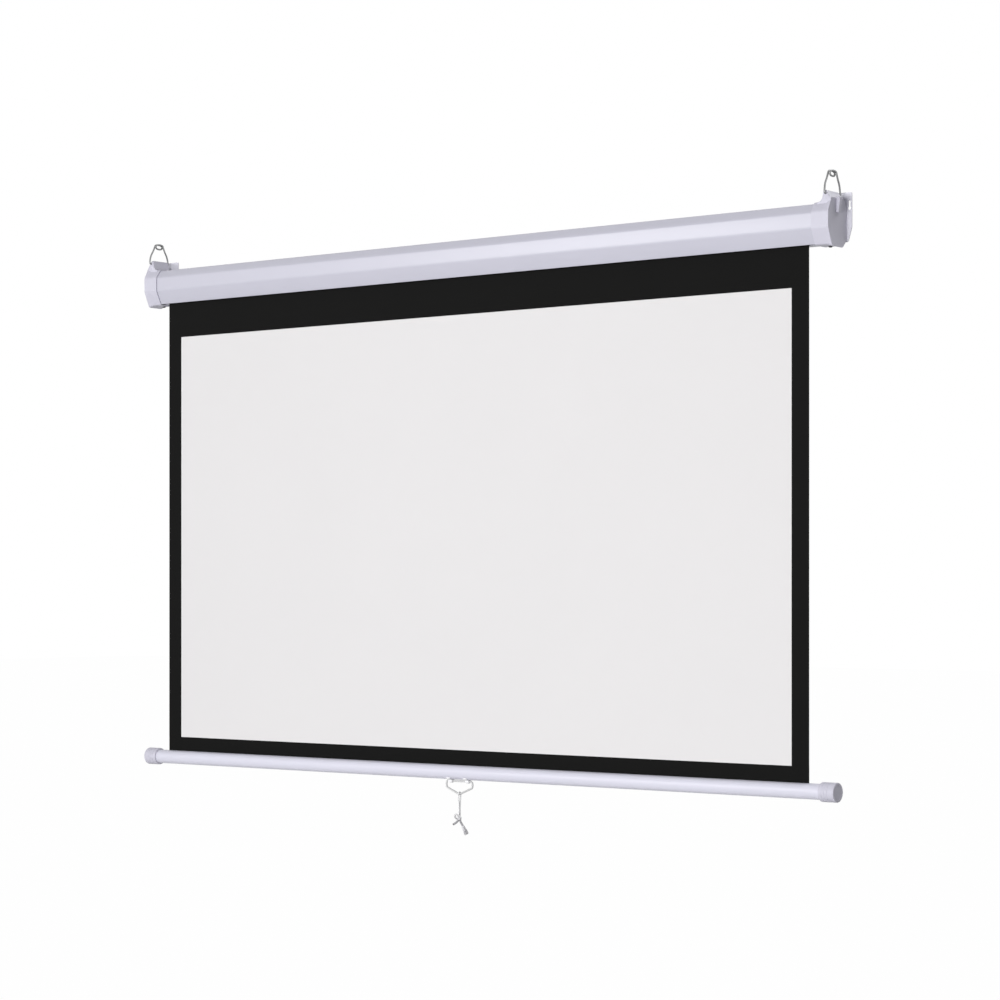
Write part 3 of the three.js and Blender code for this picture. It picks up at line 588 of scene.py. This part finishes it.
CAP_WALL = 2 * MM
CAP_ROUNDING = 3 * MM
RIM_WIDTH = 1.6 * MM
RIM_STEP = 0.5 * MM
CAP_FLARE = 15 * MM
TOP_FLARE = 7.0
LOW_FLARE = 3.0
FIN_HALF = 4 * MM
LUG_FRONT = -61.0
LUG_BACK = -13.0
LUG_TOP = 61.4
LUG_FOOT = 37.0
LUG_ROUNDING = 3.0
LUG_ARC_STEPS = 6
PIN_X = 878.5 * MM
PIN_Y = -37 * MM
PIN_Z = 54.5 * MM


def cap_ring(x, grow, flare):
    """The cap's outline at x, grown off the case in mm, and flared up and down by a share."""
    ring = []
    for corner in offset_corners(grow):
        rise = 0.0
        if abs(corner.y) > abs(CASE_BOTTOM) - 0.5:
            rise = TOP_FLARE * flare if corner.y > 0 else -LOW_FLARE * flare
        ring.append(Vector((x, min(corner.x, -2.0) * MM, (corner.y + rise) * MM)))
    return ring


def end_cap(word, sign):
    """The moulded cap: a sleeve drawn from station to station, closed by a stepped outer face."""
    bm = bmesh.new()
    # A station's place along X, how far it stands off the case in mm, and its share of the flare
    stations = [
        (CAP_START, 2.4, 0.0),
        (CAP_END - CAP_FLARE, 2.4, 0.0),
        (CAP_END - CAP_FLARE * 2 / 3, 2.5, 0.2),
        (CAP_END - CAP_FLARE / 3, 2.7, 0.7),
        (CAP_END, 2.7, 1.0),
    ]
    first, *others = [cap_ring(sign * x, grow, flare) for x, grow, flare in stations]
    verts = [bm.verts.new(point) for point in first]
    edges = [bm.edges.new((verts[i - 1], verts[i])) for i in range(len(verts))]
    for ring in others:
        made = bmesh.ops.extrude_edge_only(bm, edges=edges)["geom"]
        fresh = {v for v in made if isinstance(v, bmesh.types.BMVert)}
        verts = [
            next(e.other_vert(old) for e in old.link_edges if e.other_vert(old) in fresh)
            for old in verts
        ]
        for vert, point in zip(verts, ring):
            vert.co = point
        edges = [e for e in made if isinstance(e, bmesh.types.BMEdge) and set(e.verts) <= fresh]
    bmesh.ops.recalc_face_normals(bm, faces=bm.faces)
    round_edges(bm, long_edges(bm, turn=20, along=0.7), CAP_ROUNDING, segments=6)
    rim = [e for e in bm.edges if e.is_boundary and abs(abs(e.verts[0].co.x) - CAP_END) < WELD]
    face = bmesh.ops.contextual_create(bm, geom=rim)["faces"]
    bmesh.ops.inset_region(bm, faces=face, thickness=RIM_WIDTH, depth=RIM_STEP)
    obj = piece(
        f"end_cap_skin_{word}", bm, cap_plastic, "case", f"end_cap_{word}",
        slot="cap_plastic", sharp=32)
    finish_edges(thicken(obj, CAP_WALL), 0.5 * MM, segments=3, angle=50)


def lug_profile():
    """Inset from the cap's end and height, in mm: a hollow ramp, a short crown and a long outer bevel."""
    made = []
    for start, middle, end, steps in (
        ((29.0, 39.4), (18.5, 40.9), (17.0, LUG_TOP - 1.5), 10),
        ((17.0, LUG_TOP - 1.5), (17.0, LUG_TOP), (15.5, LUG_TOP), 4),
        ((13.5, LUG_TOP), (12.0, LUG_TOP), (10.9, LUG_TOP - 1.5), 5),
    ):
        for k in range(steps + 1):
            t = k / steps
            weights = ((1 - t) ** 2, 2 * t * (1 - t), t * t)
            made.append([
                sum(weight * value for weight, value in zip(weights, values))
                for values in zip(start, middle, end)
            ])
    return [*made, (6.0, LUG_TOP - 8.18), (1.0, LUG_TOP - 15.0)]


def hanger_lug(word, sign):
    """The raised block on the cap that carries the hanger, and the fin under it on the outer face."""
    bm = bmesh.new()
    rings = []
    for inset, top in lug_profile():
        radius = min(LUG_ROUNDING, (top - LUG_FOOT - 1) * 0.45)
        ring = [(LUG_BACK, LUG_FOOT)]
        for centre, start in ((LUG_BACK - radius, 0), (LUG_FRONT + radius, 90)):
            for k in range(LUG_ARC_STEPS + 1):
                turn = math.radians(start + 90 * k / LUG_ARC_STEPS)
                ring.append((centre + radius * math.cos(turn), top - radius + radius * math.sin(turn)))
        ring.append((LUG_FRONT, LUG_FOOT - 6))
        rings.append([bm.verts.new((sign * (CAP_END - inset * MM), y * MM, z * MM)) for y, z in ring])
    closed_between(bm, rings)
    node = f"end_cap_{word}"
    piece(f"hanger_lug_{word}", bm, cap_plastic, "case", node, slot="cap_plastic", sharp=32)
    outline = [(-3, LUG_TOP - 41), (4, LUG_TOP - 41), (8, LUG_TOP - 12), (-3, LUG_TOP - 12)]
    fin = drawn_out(
        [(sign * (CAP_END + x * MM), PIN_Y + FIN_HALF, z * MM) for x, z in outline],
        (0, -2 * FIN_HALF, 0),
    )
    obj = piece(f"cap_fin_{word}", fin, cap_plastic, "case", node, slot="cap_plastic")
    finish_edges(obj, 1.2 * MM, segments=4)


SIDES = (("left", -1), ("right", 1))
for word, sign in SIDES:
    end_cap(word, sign)
    hanger_lug(word, sign)


# Wall plates and screws

PLATE_THICKNESS = 2 * MM
PLATE_OUTER = 900 * MM
PLATE_INNER = 852 * MM
PLATE_TOP = 62 * MM
PLATE_BOTTOM = -31 * MM
PLATE_ROUNDING = 3 * MM
CHAMFER_WIDTH = 8 * MM
CHAMFER_HEIGHT = 28 * MM
SCREW_SIDES = 32
UP = (0, 0, 1)
FORWARD = (0, -1, 0)
SCREW_X = 866 * MM
SCREW_LEVEL = 18 * MM
CAP_SCREW_X = 870 * MM
CAP_SCREW_Y = -29 * MM
CAP_SCREW_Z = -39.9 * MM

# The keyhole's two arcs, upper and lower: radius, level, first angle and sweep, in mm and degrees

KEYHOLE_X = 895 * MM
KEYHOLE_ARCS = ((2.0, 45.0, 0, 180), (3.4, 32.4, 126, 288))
ARC_STEPS = 24

# Turned sections, each a row of a radius and a distance in mm

COUNTERSUNK_BORE = [(0, -1), (3.9, -1), (3.9, 0.2), (2.05, 1.8), (2.05, 4), (0, 4)]
COUNTERSUNK_SCREW = [(0, 0.2), (3.5, 0.2), (3.6, 0.35), (1.75, 1.8), (1.75, 7.2), (0, 9)]
PAN_HEIGHT = 2.5
PAN_SCREW = [
    (0, -PAN_HEIGHT), (1.6, -PAN_HEIGHT), (2.9, -2.1), (3.6, -1.2),
    (3.8, -0.3), (1.75, -0.3), (1.75, 6.2), (0, 8),
]


def wall_plate(word, sign):
    """A plate with one long chamfer, a keyhole slot and two countersunk bores."""
    outline = [
        (PLATE_INNER, PLATE_BOTTOM), (PLATE_OUTER - CHAMFER_WIDTH, PLATE_BOTTOM),
        (PLATE_OUTER, PLATE_BOTTOM + CHAMFER_HEIGHT), (PLATE_OUTER, PLATE_TOP),
        (PLATE_INNER, PLATE_TOP),
    ]
    bm = drawn_out(
        [(sign * x, 0, z) for x, z in outline], (0, -PLATE_THICKNESS, 0), PLATE_ROUNDING)
    node = f"wall_plate_{word}"
    obj = piece(f"wall_plate_skin_{word}", bm, plate_paint, "case", node, slot="zinc_plate")
    hole = []
    for radius, level, start, sweep in KEYHOLE_ARCS:
        for k in range(ARC_STEPS + 1):
            turn = math.radians(start + sweep * k / ARC_STEPS)
            x = sign * KEYHOLE_X + radius * math.cos(turn) * MM
            hole.append((x, PLATE_THICKNESS, (level + radius * math.sin(turn)) * MM))
    cut(obj, drawn_out(hole, (0, -3 * PLATE_THICKNESS, 0)))
    for level in (-SCREW_LEVEL, SCREW_LEVEL):
        cut(obj, turned(COUNTERSUNK_BORE, SCREW_SIDES, FORWARD, (sign * SCREW_X, 0, level)))
    obj.data.shade_smooth()
    obj.data.set_sharp_from_angle(angle=math.radians(35))
    finish_edges(obj, 0.35 * MM, segments=3)


def cross_recess(origin, direction, arm, depth):
    """A cross, one closed outline drawn through a screw head's face, that cuts its recess."""
    thin = arm / 4
    quarter = [(arm, -thin), (arm, thin), (thin, thin)]
    outline = []
    for k in range(4):
        turn = Matrix.Rotation(math.radians(90 * k), 2)
        outline += [turn @ Vector(corner) for corner in quarter]
    return aim(drawn_out([(x, y, -depth) for x, y in outline], (0, 0, 2 * depth)), direction, origin)


def cap_screw(word, sign):
    origin = Vector((sign * CAP_SCREW_X, CAP_SCREW_Y, CAP_SCREW_Z))
    bm = turned(PAN_SCREW, SCREW_SIDES, UP, origin)
    node = f"cap_screw_{word}"
    obj = piece(f"cap_screw_head_{word}", bm, dark_steel, "case", node, slot="dark_steel")
    face = origin + Vector((0, 0, -PAN_HEIGHT * MM))
    cut(obj, cross_recess(face, UP, arm=1.7 * MM, depth=1.2 * MM))


def plate_screw(word, sign, height, level):
    origin = Vector((sign * SCREW_X, 0, level))
    bm = turned(COUNTERSUNK_SCREW, SCREW_SIDES, FORWARD, origin)
    node = f"plate_screw_{word}_{height}"
    obj = piece(f"{node}_head", bm, plated_steel, "case", node, slot="plated_steel")
    cut(obj, cross_recess(origin, FORWARD, arm=1.8 * MM, depth=1.3 * MM))


for word, sign in SIDES:
    wall_plate(word, sign)
    cap_screw(word, sign)
    plate_screw(word, sign, "upper", SCREW_LEVEL)
    plate_screw(word, sign, "lower", -SCREW_LEVEL)


# Wire hangers

HANGER_WIRE = 3.6 * MM
EYE_STEPS = 24
EYE_TURNS = 1.5
EYE_HALF_WIDTH = 10.25
EYE_HALF_HEIGHT = 5.0
EYE_SQUARENESS = 0.8


def hanger_points(sign):
    """Inturned end, leg, one and a half turns of the eye, leg and inturned end."""
    half = 28.5
    inside = 18.0
    height = 40.0
    shift = 3.15

    def leg(way, offset):
        return [
            (0, way * inside, 0), (0, way * (half - 7.2), 0), (0, way * (half - 3.6), 0),
            (0, way * (half - 0.72), 1.08), (0, way * half, 3.6), (0, way * half * 0.985, 8.64),
            (offset * 0.5, way * half * 0.8, 20), (offset * 0.85, way * half * 0.53, 30.8),
        ]

    eye = []
    for i in range(EYE_STEPS + 1):
        share = i / EYE_STEPS
        turn = math.pi * (EYE_TURNS - 0.5) - share * EYE_TURNS * math.tau
        across, up = (
            math.copysign(abs(v) ** EYE_SQUARENESS, v) for v in (math.cos(turn), math.sin(turn)))
        eye.append((
            (share - 0.5) * 2 * shift, across * EYE_HALF_WIDTH, height + up * EYE_HALF_HEIGHT))
    route = leg(-1, -shift) + eye + leg(1, shift)[::-1]
    return [Vector((sign * PIN_X + x * MM, PIN_Y + y * MM, PIN_Z + z * MM)) for x, y, z in route]


for word, sign in SIDES:
    smooth_wire(
        f"hanger_wire_{word}", hanger_points(sign), HANGER_WIRE, plated_steel,
        f"{word}_hanger", f"hanger_{word}", slot="plated_steel",
    )


# Cloth

CLOTH_HEIGHT = CLOTH_TOP - IMAGE_BOTTOM
WAVE_HEIGHT = 0.32 * MM
FULL_WAVES_BELOW = 300 * MM
SHEET_COLUMNS = 160
HEM_LOOP = 3.5 * MM
HEM_ROD_Z = BAR_TOP - 6 * MM
HEM_STEPS = 28


def ripple(x, z):
    """How far the hanging cloth stands off its plane: a few long shallow waves, none at the bar."""
    depth = min(1.0, max(0.0, (CLOTH_TOP - z) / FULL_WAVES_BELOW))
    hang = max(0.0, (z - IMAGE_BOTTOM) / CLOTH_HEIGHT)
    wave = math.sin(x * 7.1 + 0.6) + 0.5 * math.sin(x * 16.3 + z * 2.0)
    return WAVE_HEIGHT * wave * depth * min(1.0, hang * 3)


def hanging_sheet(half, top, y, thickness, rows):
    """A sheet that hangs from its top to the foot of the image, with the cloth's waves."""
    bm = bmesh.new()
    bmesh.ops.create_grid(bm, x_segments=SHEET_COLUMNS, y_segments=rows, size=0.5)
    for vert in bm.verts:
        x = vert.co.x * 2 * half
        z = (top + IMAGE_BOTTOM) / 2 + vert.co.y * (top - IMAGE_BOTTOM)
        vert.co = (x, y + ripple(x, z), z)
    bmesh.ops.recalc_face_normals(bm, faces=bm.faces)
    bmesh.ops.solidify(bm, geom=bm.faces[:], thickness=thickness)
    return bm


def cloth():
    """The black sheet and its white viewing surface, each given a mesh of its own; on the real screen
    they shorten together as it goes up.
    """
    bm = hanging_sheet(FABRIC_HALF, CLOTH_TOP, FABRIC_Y, CLOTH_THICKNESS, rows=100)
    sheet = piece(
        "screen_cloth", bm, cloth_black, "case", "screen_fabric", slot="black_fabric", sharp=40)
    coat_y = FABRIC_Y - CLOTH_THICKNESS / 2 - COAT_THICKNESS / 2
    bm = hanging_sheet(IMAGE_HALF, IMAGE_TOP, coat_y, COAT_THICKNESS, rows=90)
    coat = piece(
        "viewing_coat", bm, coat_white, "case", "viewing_surface", slot="white_fabric", sharp=40)
    for obj in (sheet, coat):
        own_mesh(obj)


def hem_strip():
    """The lower margin, its end turned round the rod in the bar."""
    start = math.radians(86)
    gap = math.radians(4)
    section = [
        (FABRIC_Y, IMAGE_BOTTOM), (FABRIC_Y, BAR_TOP + 4 * MM), (FABRIC_Y, HEM_ROD_Z + HEM_LOOP)]
    for k in range(1, HEM_STEPS):
        turn = start + (math.tau - gap) * k / HEM_STEPS
        section.append((FABRIC_Y + HEM_LOOP * math.cos(turn), HEM_ROD_Z + HEM_LOOP * math.sin(turn)))
    bm = drawn_along(section, FABRIC_HALF)
    obj = piece("hem_strip", bm, cloth_black, "bottom_bar", "fabric_hem", slot="black_fabric")
    thicken(obj, CLOTH_THICKNESS, offset=0.0)


cloth()
hem_strip()


# Bottom bar

BAR_HALF = 893 * MM
BAR_WALL = 1.2 * MM
BAR_SLOT = 1.2 * MM
BAR_STEPS = 72
BAR_CAP_SIDES = 96
SLOT_LIP_Z = BAR_TOP - 3 * MM


def bar_tube():
    """A tube with a slot along its top for the cloth, whose edges turn down inside."""
    open_angle = math.asin(BAR_SLOT / BAR_RADIUS)
    section = [(FABRIC_Y - BAR_SLOT, SLOT_LIP_Z)]
    for k in range(BAR_STEPS + 1):
        turn = math.pi / 2 + open_angle + (math.tau - 2 * open_angle) * k / BAR_STEPS
        section.append((FABRIC_Y + BAR_RADIUS * math.cos(turn), BAR_Z + BAR_RADIUS * math.sin(turn)))
    section.append((FABRIC_Y + BAR_SLOT, SLOT_LIP_Z))
    bm = drawn_along(section, BAR_HALF)
    obj = piece("bar_tube", bm, bar_paint, "bottom_bar", "weight_bar", slot="bar_paint")
    thicken(obj, BAR_WALL)


def bar_cap(word, sign):
    """A ribbed cup over the bar's end, with a chamfered rim."""
    radius = 18.5
    bore = 15.3
    mouth = 863.2
    seat = 893.3
    outer = 897.2
    chamfer = 1.6
    groove_pitch = 6
    profile = [
        (0, seat), (bore, seat), (bore, mouth), (17.0, mouth), (17.9, mouth + 0.4),
        (radius, mouth + chamfer),
    ]
    for i in range(3):
        x = mouth + chamfer + groove_pitch * (i + 1)
        profile += [(radius, x), (18.0, x + 0.3), (18.0, x + 0.9), (radius, x + 1.2)]
    profile += [
        (radius, outer - chamfer), (18.2, outer - 0.8), (17.4, outer - 0.2), (16.6, outer),
        (14.4, outer), (14.0, outer - 0.5), (0, outer - 0.5),
    ]
    bm = turned(profile, BAR_CAP_SIDES, (sign, 0, 0), (0, FABRIC_Y, BAR_Z))
    piece(
        f"bar_cap_skin_{word}", bm, cap_plastic, "bottom_bar", f"bar_cap_{word}",
        slot="cap_plastic", sharp=28)


bar_tube()
for word, sign in SIDES:
    bar_cap(word, sign)


# Pull handle

HINGE_Z = -1075.6 * MM
HANDLE_HALF = 34 * MM
HANDLE_SIDE = 13 * MM
HANDLE_LOW = HINGE_Z - 27 * MM
HANDLE_WIRE = 4 * MM
HANDLE_BEND = 5 * MM
BEND_STEPS = 8


def handle_points():
    """The wire's route round the handle: five corners, all bent on one radius."""
    corners = [Vector((x, FABRIC_Y, z)) for x, z in (
        (-HANDLE_HALF, HINGE_Z), (-HANDLE_HALF, HINGE_Z - HANDLE_SIDE), (0, HANDLE_LOW),
        (HANDLE_HALF, HINGE_Z - HANDLE_SIDE), (HANDLE_HALF, HINGE_Z),
    )]
    points = []
    for i, corner in enumerate(corners):
        back = (corners[i - 1] - corner).normalized()
        onward = (corners[(i + 1) % len(corners)] - corner).normalized()
        half = back.angle(onward) / 2
        centre = corner + (back + onward).normalized() * HANDLE_BEND / math.sin(half)
        first = corner + back * HANDLE_BEND / math.tan(half) - centre
        last = corner + onward * HANDLE_BEND / math.tan(half) - centre
        sweep = first.angle(last)
        for k in range(BEND_STEPS + 1):
            turn = sweep * k / BEND_STEPS
            arm = first * math.sin(sweep - turn) + last * math.sin(turn)
            points.append(centre + arm / math.sin(sweep))
    return points


def handle_wire():
    data = wire_curve("handle_wire", HANDLE_WIRE, round_steps=6, material=handle_paint)
    spline = data.splines.new("POLY")
    points = handle_points()
    spline.points.add(len(points) - 1)
    for knot, point in zip(spline.points, points):
        knot.co = (*point, 1)
    spline.use_cyclic_u = True
    spline.use_smooth = True
    place(bpy.data.objects.new("handle_wire", data), "handle", "pull_handle", slot="zinc_plate")


handle_wire()


# Pull cord: one turn of its yarns takes CORD_LAY diameters, and the wraps, drop and spread are in mm

CORD = 3 * MM
CORD_SIDES = 24
CORD_LAY = 4.2
CORD_HOLLOW = 0.94
CORD_LOBE = 0.07
TAIL_CORD = CORD * 1.5
WIRE_LOW = -1102.21 * MM
CORD_WRAP = 3.8
CORD_DROP = 50.0
KNOT_Z = WIRE_LOW - CORD_DROP * MM
KNOT_STEPS = 48
SPREAD = 1.75
KNOT_TOP = 5.36

# Routes from the middle of the knot, as shares of their reach in mm

BOW_REACH = 11
BOW = [
    (0, 0, 0), (-0.45, 0.05, 0.45), (-0.95, 0.1, 0.75),
    (-1.1, 0, 0.3), (-0.75, -0.1, -0.05), (-0.1, -0.15, -0.15),
]
SHORT_REACH = 15
SHORT_TAIL = [(0, 0, 0), (-0.25, -0.1, -0.4), (-0.7, -0.15, -0.75), (-0.83, -0.12, -0.8)]
TAIL_TIP = [(-0.81, -0.12, -0.79), (-0.9, -0.11, -0.83), (-0.98, -0.1, -0.86)]
LONG_REACH = 24
LONG_TAIL = [(0, 0, 0), (0.08, 0.05, -0.3), (0.28, 0.08, -0.62), (0.48, 0.05, -0.9)]

# The long tail's frayed end

BRUSH_LENGTH = 13 * MM
BRUSH_ABOVE = 7 * MM
BRUSH_RADIUS = 5.2 * MM
YARNS = 96
YARN_RADIUS = 0.36 * MM
YARN_SIDES = 6
YARN_STEPS = 8
GOLDEN_ANGLE = 2.399963


def strand_points(way):
    """One strand's route: over the handle's low point and down one side to the knot."""
    low = WIRE_LOW / MM
    route = [
        (way * 0.15, low + CORD_WRAP), (way * CORD_WRAP * 0.3, low + CORD_WRAP),
        (way * CORD_WRAP * 0.8, low + CORD_WRAP * 0.68), (way * CORD_WRAP, low),
        (way * CORD_WRAP * 0.95, low - 6), (way * SPREAD * 1.15, low - CORD_DROP * 0.45),
        (way * SPREAD, KNOT_Z / MM + KNOT_TOP),
    ]
    return [Vector((0, FABRIC_Y + y * MM, z * MM)) for y, z in route]


def smooth_route(points, steps):
    """Evenly sampled smooth curve through given points."""
    made = []
    padded = [points[0] * 2 - points[1], *points, points[-1] * 2 - points[-2]]
    for i in range(1, len(padded) - 2):
        p0, p1, p2, p3 = padded[i - 1:i + 3]
        for k in range(steps):
            t = k / steps
            made.append(0.5 * (
                2 * p1 + (p2 - p0) * t + (2 * p0 - 5 * p1 + 4 * p2 - p3) * t * t
                + (3 * p1 - p0 - 3 * p2 + p3) * t ** 3
            ))
    made.append(points[-1].copy())
    return made


def laid_cord(name, route, diameter, node, material=cord_cotton, lobes=3):
    """Cord of twisted yarns: a lobed section that turns as it is drawn along its route."""
    bm = bmesh.new()
    travelled = 0.0
    normal = None
    rings = []
    for i, here in enumerate(route):
        ahead = (route[min(i + 1, len(route) - 1)] - route[max(i - 1, 0)]).normalized()
        if normal is None:
            normal = ahead.orthogonal().normalized()
        normal = (normal - ahead * normal.dot(ahead)).normalized()
        side = ahead.cross(normal)
        if i:
            travelled += (here - route[i - 1]).length
        twist = math.tau * travelled / (CORD_LAY * diameter)
        ring = []
        for k in range(CORD_SIDES):
            turn = math.tau * k / CORD_SIDES
            lobe = CORD_LOBE * abs(math.cos(lobes * (turn - twist) / 2))
            outwards = normal * math.cos(turn) + side * math.sin(turn)
            ring.append(bm.verts.new(here + outwards * (diameter / 2 * (CORD_HOLLOW + lobe))))
        rings.append([bm.edges.new((ring[k - 1], ring[k])) for k in range(CORD_SIDES)])
    for low, high in zip(rings, rings[1:]):
        bmesh.ops.bridge_loops(bm, edges=low + high)
    for ring in (rings[0], rings[-1]):
        bmesh.ops.contextual_create(bm, geom=ring)
    return piece(name, bm, material, "cord", node, slot="cotton_cord", sharp=60)


def length_of(route):
    return sum((b - a).length for a, b in zip(route, route[1:]))


def from_knot(reach, shares, steps=10):
    """A smooth route that starts in the knot."""
    scale = reach * MM
    return smooth_route([
        Vector((x * scale, FABRIC_Y + y * scale, KNOT_Z + z * scale)) for x, y, z in shares
    ], steps)


def knot_wraps():
    """Almost two and a half turns of the cord, drawn tight round the strands."""
    route = []
    turns = 2.4
    height = 6.8
    for k in range(KNOT_STEPS + 1):
        share = k / KNOT_STEPS
        turn = share * turns * math.tau
        radius = 2.9 * math.sin(math.pi * (0.18 + 0.64 * share)) + 0.3
        x, y, z = radius * math.cos(turn), radius * math.sin(turn), height * (0.5 - share)
        route.append(Vector((x * MM, FABRIC_Y + y * MM, KNOT_Z + z * MM)))
    # The knot's cotton is painted lighter than the cord, against the shade of its own turns
    return laid_cord("knot_wraps", route, CORD * 0.95, "cord_knot", knot_cotton_painted_light)


def pull_cord():
    strands = {}
    for word, way in (("front", -1), ("rear", 1)):
        route = smooth_route(strand_points(way), 6)
        strands[word] = laid_cord(f"strand_{word}", route, CORD, f"cord_strand_{word}"), route
    knot = knot_wraps()
    bow = laid_cord("bow_loop", from_knot(BOW_REACH, BOW), CORD * 1.1, "cord_knot")
    short = laid_cord(
        "tail_short", from_knot(SHORT_REACH, SHORT_TAIL), TAIL_CORD, "cord_knot", lobes=5)
    tip = laid_cord(
        "tail_tip", from_knot(SHORT_REACH, TAIL_TIP, 6), TAIL_CORD, "cord_knot", burnt_end, lobes=5)
    tail = from_knot(LONG_REACH, LONG_TAIL)
    long = laid_cord("tail_long", tail, TAIL_CORD, "cord_knot", lobes=5)
    brush = frayed_end(tail[-1], (tail[-1] - tail[-2]).normalized())
    for word, (strand, route) in strands.items():
        length_of(route)


def frayed_end(start, down):
    """Crimped yarns that stand off the last part of the long tail and spread below it."""
    bm = bmesh.new()
    across = down.cross(Vector((0, 1, 0))).normalized()
    other = down.cross(across)

    def towards(turn):
        return across * math.cos(turn) + other * math.sin(turn)

    for k in range(YARNS):
        out = math.sqrt((k + 0.5) / YARNS)
        side = towards(k * GOLDEN_ANGLE)
        reach = BRUSH_ABOVE + BRUSH_LENGTH * (0.86 + 0.14 * math.sin(k * 1.7))
        curl = towards(k * 2.1)
        rings = []
        for step in range(YARN_STEPS + 1):
            share = step / YARN_STEPS
            spread = out * (0.5 + 0.44 * share ** 0.9) * BRUSH_RADIUS
            crimp = curl * math.sin(share * 9 + k) * 0.28 * MM * share
            centre = start + down * (reach * share - BRUSH_ABOVE) + side * spread + crimp
            thin = YARN_RADIUS * (1.0 - 0.45 * share)
            rings.append([
                bm.verts.new(centre + towards(math.tau * i / YARN_SIDES) * thin)
                for i in range(YARN_SIDES)
            ])
        closed_between(bm, rings)
    # The yarns' cotton is painted lighter than the tail's, against the shade the yarns cast on each other
    return piece("frayed_end", bm, loose_yarn_painted_light, "cord", "cord_knot", slot="cotton_cord", sharp=60)


pull_cord()


# Floor, lamps and world

FLOOR_Z = -2.2
FLOOR_HALF = 40
FLOOR_GLOW = 0.99
AMBIENT = 0.27


def floor():
    bm = bmesh.new()
    bmesh.ops.create_grid(bm, x_segments=1, y_segments=1, size=FLOOR_HALF)
    mesh = bpy.data.meshes.new("floor")
    bm.to_mesh(mesh)
    bm.free()
    obj = bpy.data.objects.new("floor", mesh)
    obj.location.z = FLOOR_Z
    made = Finish("floor", (0.6, 0.6, 0.6), 0.9)
    wire = made.wire
    shine = wire.node("Emission", Color=(1, 1, 1, 1), Strength=1.0)
    mix = wire.node("MixShader")
    wire.put(mix.inputs[0], seen_rays(wire) * FLOOR_GLOW)
    wire.put(mix.inputs[1], wire.out(made.surface, "BSDF"))
    wire.put(mix.inputs[2], wire.out(shine))
    end = made.material.node_tree.nodes["Material Output"]
    wire.put(end.inputs["Surface"], wire.out(mix))
    mesh.materials.append(made.material)
    bpy.context.scene.collection.objects.link(obj)


def seen_rays(wire):
    """1 for what the camera sees straight, through glass or in a shiny face."""
    path = wire.node("LightPath")
    seen, shiny, through = (
        wire.out(path, f"Is {kind} Ray") for kind in ("Camera", "Glossy", "Transmission"))
    return (seen + shiny + through).clamped()


def lamp(name, at, target, size, power):
    data = bpy.data.lights.new(name, "AREA")
    data.shape = "RECTANGLE"
    data.size, data.size_y = size
    data.energy = power
    obj = bpy.data.objects.new(name, data)
    obj.location = at
    obj.rotation_euler = (Vector(target) - Vector(at)).to_track_quat("-Z", "Y").to_euler()
    bpy.context.scene.collection.objects.link(obj)


def world():
    made = bpy.data.worlds.new("world")
    made.use_nodes = True
    tree = made.node_tree
    wire = Wire(tree, None)
    background = tree.nodes["Background"]
    background.inputs["Color"].default_value = (1.0, 1.0, 1.0, 1)
    wire.put(background.inputs["Strength"], seen_rays(wire) * (1 - AMBIENT) + AMBIENT)
    bpy.context.scene.world = made


floor()
world()
lamp("key", at=(1.4, -6.4, -0.55), target=(0, 0, -0.45), size=(2.4, 1.3), power=252)
lamp("streak", at=(-3.6, -6.0, 0.94), target=(0.45, 0, 0), size=(1.6, 0.9), power=100)
lamp("fill", at=(-2.6, -5.5, -0.6), target=(0, 0, -0.6), size=(2.0, 2.0), power=30)
lamp("rim", at=(1.32, 0.82, 1.2), target=(0.88, -0.04, 0.05), size=(0.8, 0.8), power=14)

bpy.context.scene.view_settings.view_transform = "Standard"
